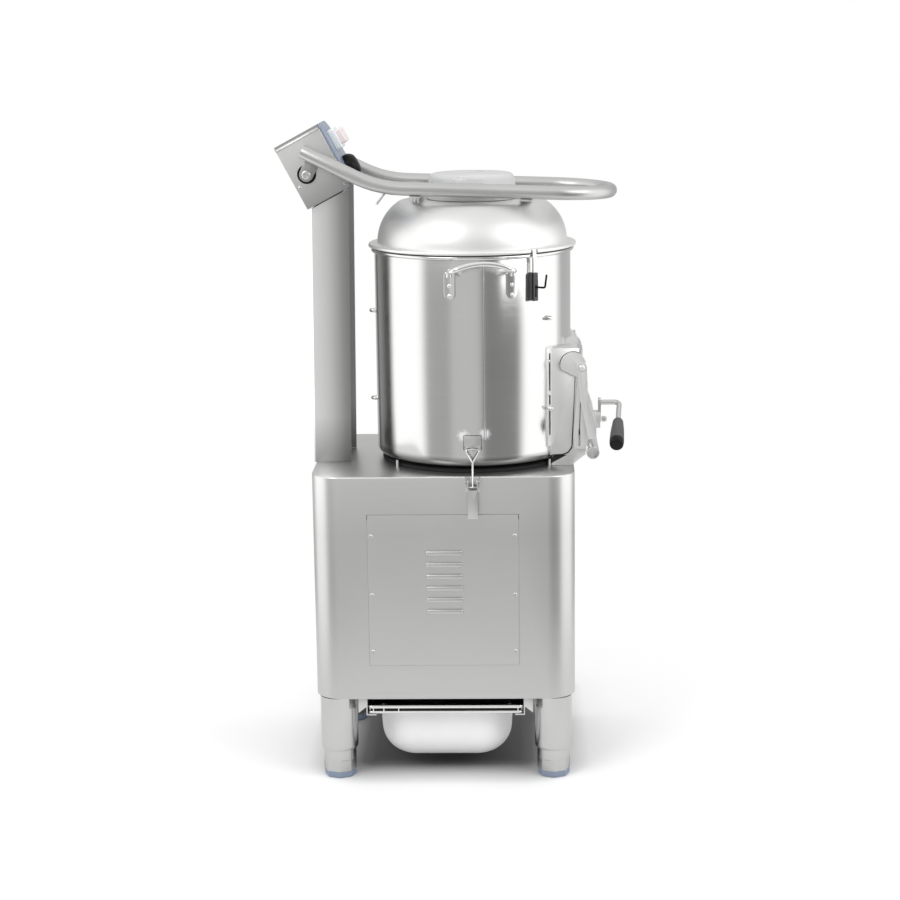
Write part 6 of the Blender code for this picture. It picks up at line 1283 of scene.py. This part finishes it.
# Painted shade: a dark line along the top of each keeper and down its ends.
for turn in (0, 180):
    keeper_shadow = slab((-0.0138, -0.1605, 0.5662), (0.0138, -0.1586, 0.5669))
    for x in (-0.0138, 0.0138):
        add(keeper_shadow, slab((x - 0.0005, -0.1610, 0.5440), (x + 0.0005, -0.1576, 0.5660)))
    add(seam_shadows, put(keeper_shadow, at(AXIS), spun(turn)))
as_piece(seam_shadows, "seam_shadows", "cabinet", "black rubber and painted shade")

# %% [markdown]
# ## Door
#
# The door is a plate with round corners, a pressed dish where the clamp screw pushes, and a curled
# lower edge that keeps peel off the floor. The dish is a lathe shape joined to the plate, and a
# smaller one hollows it from behind, as the press does.

# %% Door
SCREW_Z, DOOR_FACE = 0.562, 0.2320  # the clamp screw's axis, and X of the door's outer face
door = slab((0.2296, -0.094, 0.5240), (DOOR_FACE, 0.094, 0.6500), 0.0138, 8, along_x)
dish = lathe([(0, -0.001), (0.048, -0.001), (0.048, 0.0002), (0.0370, 0.0062), (0.0240, 0.0090),
              (0, 0.0090)], [(2, 0.0010), (3, 0.0040), (4, 0.0050)], 96)
hollow = lathe([(0, -0.006), (0.0455, -0.006), (0.0355, 0.0040), (0.0230, 0.0072), (0, 0.0072)],
               [(2, 0.0040), (3, 0.0050)], 96)
dish_place = at(DOOR_FACE, 0, SCREW_Z) @ spun(90, "Y")
door = shaped(door, put(dish, dish_place), "UNION")
door = shaped(door, put(hollow, dish_place))
curl = lathe([(0.0087, -0.080), (0.0105, -0.080), (0.0105, 0.080), (0.0087, 0.080)],
             [(1, 0.0005), (2, 0.0005)], 48)
door = shaped(door, put(curl, at(0.2413, 0, 0.52115), spun(90, "X")), "UNION")
as_piece(put(door, at(MIDDLE)), "door_plate", "door", "bright steel", ("door_panel",), 40)

# %% [markdown]
# ## Crank
#
# The crank turns the screw that clamps the door. A small plate with round ends sits on the screw
# under a cap nut and carries a bent rod, which is fed and bent like the lever. The grip on the rod
# is a lathe shape that swells towards the hand and ends in a soft radius. A true thread would be a
# swept helix. At this size nine ring grooves look the same, and a loop cuts them out of a peg.

# %% Crank
ROD_Z = 0.590  # the rod is above the screw when the door is clamped
both_ends = [(0, 0.0049), (1, 0.0049), (2, 0.0049), (3, 0.0049)]
crank = put(plate([(-0.005, -0.005), (0.005, -0.005), (0.005, 0.036), (-0.005, 0.036)], 0.0045,
                  both_ends, 0.0006), at(0.2571, 0, SCREW_Z), spun(90))
screw = put(peg(0.0045, 0, 0.0180, 40), at(0.2434, 0, SCREW_Z), spun(90, "Y"))
for turn in range(9):
    groove = lathe([(0.0041, -0.0004), (0.0052, -0.0008), (0.0052, 0.0008), (0.0041, 0.0004)],
                   steps=32)
    screw = shaped(screw, put(groove, at(0.2450 + 0.0016 * turn, 0, SCREW_Z), spun(90, "Y")))
nut = put(cap_nut(0.0050, 0.0062), at(0.2610, 0, SCREW_Z), spun(90, "Y"))
rod = bent_bar(0.0042, (0.2548, 0, ROD_Z), X,
               [0.0240, ((0, 0.3746, -0.9237), 0.008, 94.6), 0.0520], 24)
add(crank, screw, nut, rod)
as_piece(put(crank, at(MIDDLE)), "crank_arm", "crank", "zinc", ("crank_handle",), 40)

# %% Crank grip
aside, down = math.radians(5), math.radians(22)
along = Vector((-math.sin(aside) * math.cos(down), -math.cos(aside) * math.cos(down),
                -math.sin(down)))
grip = lathe([(0, 0), (0.0060, 0), (0.0085, 0.0040), (0.0110, 0.0340), (0.0118, 0.0660),
              (0.0104, 0.0740), (0, 0.0740)],
             [(1, 0.0008), (2, 0.0020), (3, 0.0080), (4, 0.0050), (5, 0.0030)], 64)
for face in grip.faces:
    face.material_index = int(face.calc_center_median().z > 0.055)
grip = put(grip, at(0.2875, 0, ROD_Z), at(*(along * 0.056)), facing(along))
as_piece(put(grip, at(MIDDLE)), "grip", "crank", "graphite plastic", ("crank_grip",), 60,
         more=("black plastic and painted shade",))

# %% [markdown]
# ## World
#
# The photograph is a catalogue picture on white. The drum mirrors the room, and its bright and
# dark bands are two tall white screens beside the machine with a greyer room between them. Screens
# of real geometry could make those bands, but they would get in the way of other views. So the
# world's brightness follows the compass: a colour ramp on the direction's angle, which fades into
# an even bright ceiling. Camera rays see plain white instead.

# %% World
world = bpy.data.worlds.new("studio")
bpy.context.scene.world = world
world.use_nodes = True


class Sky(Finish):
    """The same node helper on a world's tree."""

    def __init__(self, world):
        self.tree = world.node_tree


# (degrees from the side the camera is on, brightness)
ROOM = [(-180, 0.60), (-126, 0.60), (-114, 1.55), (-64, 1.55), (-54, 0.52), (-30, 0.50),
        (-22, 0.70), (8, 0.70), (14, 0.27), (54, 0.30), (64, 1.55), (114, 1.55), (126, 0.60),
        (180, 0.60)]
sky = Sky(world)
x, y, z = sky.split(sky.node("ShaderNodeTexCoord", out="Generated"))
compass = x.math("ARCTAN2", x, y * -1.0)
room = sky.ramp(compass * (0.5 / math.pi) + 0.5, [((turn + 180) / 360, v) for turn, v in ROOM])
ceiling = sky.ramp(z, [(0.30, 0), (0.75, 1)])
light = sky.blend(ceiling, room, shade(1.05))
seen = sky.node("ShaderNodeLightPath", out="Is Camera Ray")
backdrop = sky.tree.nodes["Background"]
sky.tree.links.new(sky.blend(seen, light, shade(1.0)).socket, backdrop.inputs["Color"])

# %% [markdown]
# ## Floor
#
# The floor is white paper that must end without a line. A large plane would show its horizon, so
# it is a disc whose material fades into plain white towards its rim. Under the machine the
# photograph has a deep soft shadow. Part of it is painted: the paper gets darker near a rectangle
# between the legs, by the distance to that rectangle.

# %% Floor
PATCH = ((X, MIDDLE, 0.120), (Y, 0.11, 0.19))  # the rectangle: direction, middle, half its length
REACH = 1 / 6  # metres from the rectangle to clean paper
bm = bmesh.new()
bmesh.ops.create_circle(bm, cap_ends=True, radius=1.15, segments=96)
floor_mesh = bpy.data.meshes.new("floor")
bm.to_mesh(floor_mesh)
bm.free()
floor = bpy.data.objects.new("floor", floor_mesh)
floor.location.z = -0.0004
bpy.context.scene.collection.objects.link(floor)

paper = Finish("floor_paper", Roughness=0.9)
squared = 0
for direction, middle, half in PATCH:
    past = ((paper.along(direction) - middle).as_only("ABSOLUTE") - half).at_least(0.0)
    squared = past * past + squared
tones = [(0, 0.11), (0.12, 0.16), (0.40, 0.58), (0.7, 0.92), (1, 0.95)]
paper.feed("Base Color", paper.ramp(squared.as_only("SQRT") * (1 / REACH), tones))
edge = paper.ramp(paper.near((0, 0, 0)), [(0.45, 0), (1.0, 1)])
glow = paper.node("ShaderNodeEmission", {}, {0: shade(1.0)})
mixed = paper.node("ShaderNodeMixShader", {},
                   {0: edge, 1: Wire(paper, paper.shader.outputs[0]), 2: glow})
paper.tree.links.new(mixed.socket, paper.tree.nodes["Material Output"].inputs["Surface"])
floor_mesh.materials.append(paper.material)

# %% [markdown]
# ## Lamps
#
# The world gives most of the light and all the reflections of the room. Two large soft lamps add
# the glints on edges and screws: a key from the left of the camera and a weaker fill from the
# right, both aimed at the drum.

# %% Lamps
AIM = Vector((0, 0, 0.55))
for name, place, size, watts in (("key", (-1.6, -2.2, 2.6), 1.4, 30),
                                 ("fill", (1.9, -1.6, 1.9), 1.6, 18)):
    lamp = bpy.data.lights.new(name, "AREA")
    lamp.size, lamp.energy = size, watts
    lamp_object = bpy.data.objects.new(name, lamp)
    lamp_object.location = place
    lamp_object.rotation_mode = "QUATERNION"
    lamp_object.rotation_quaternion = (AIM - Vector(place)).to_track_quat("-Z", "Y")
    bpy.context.scene.collection.objects.link(lamp_object)
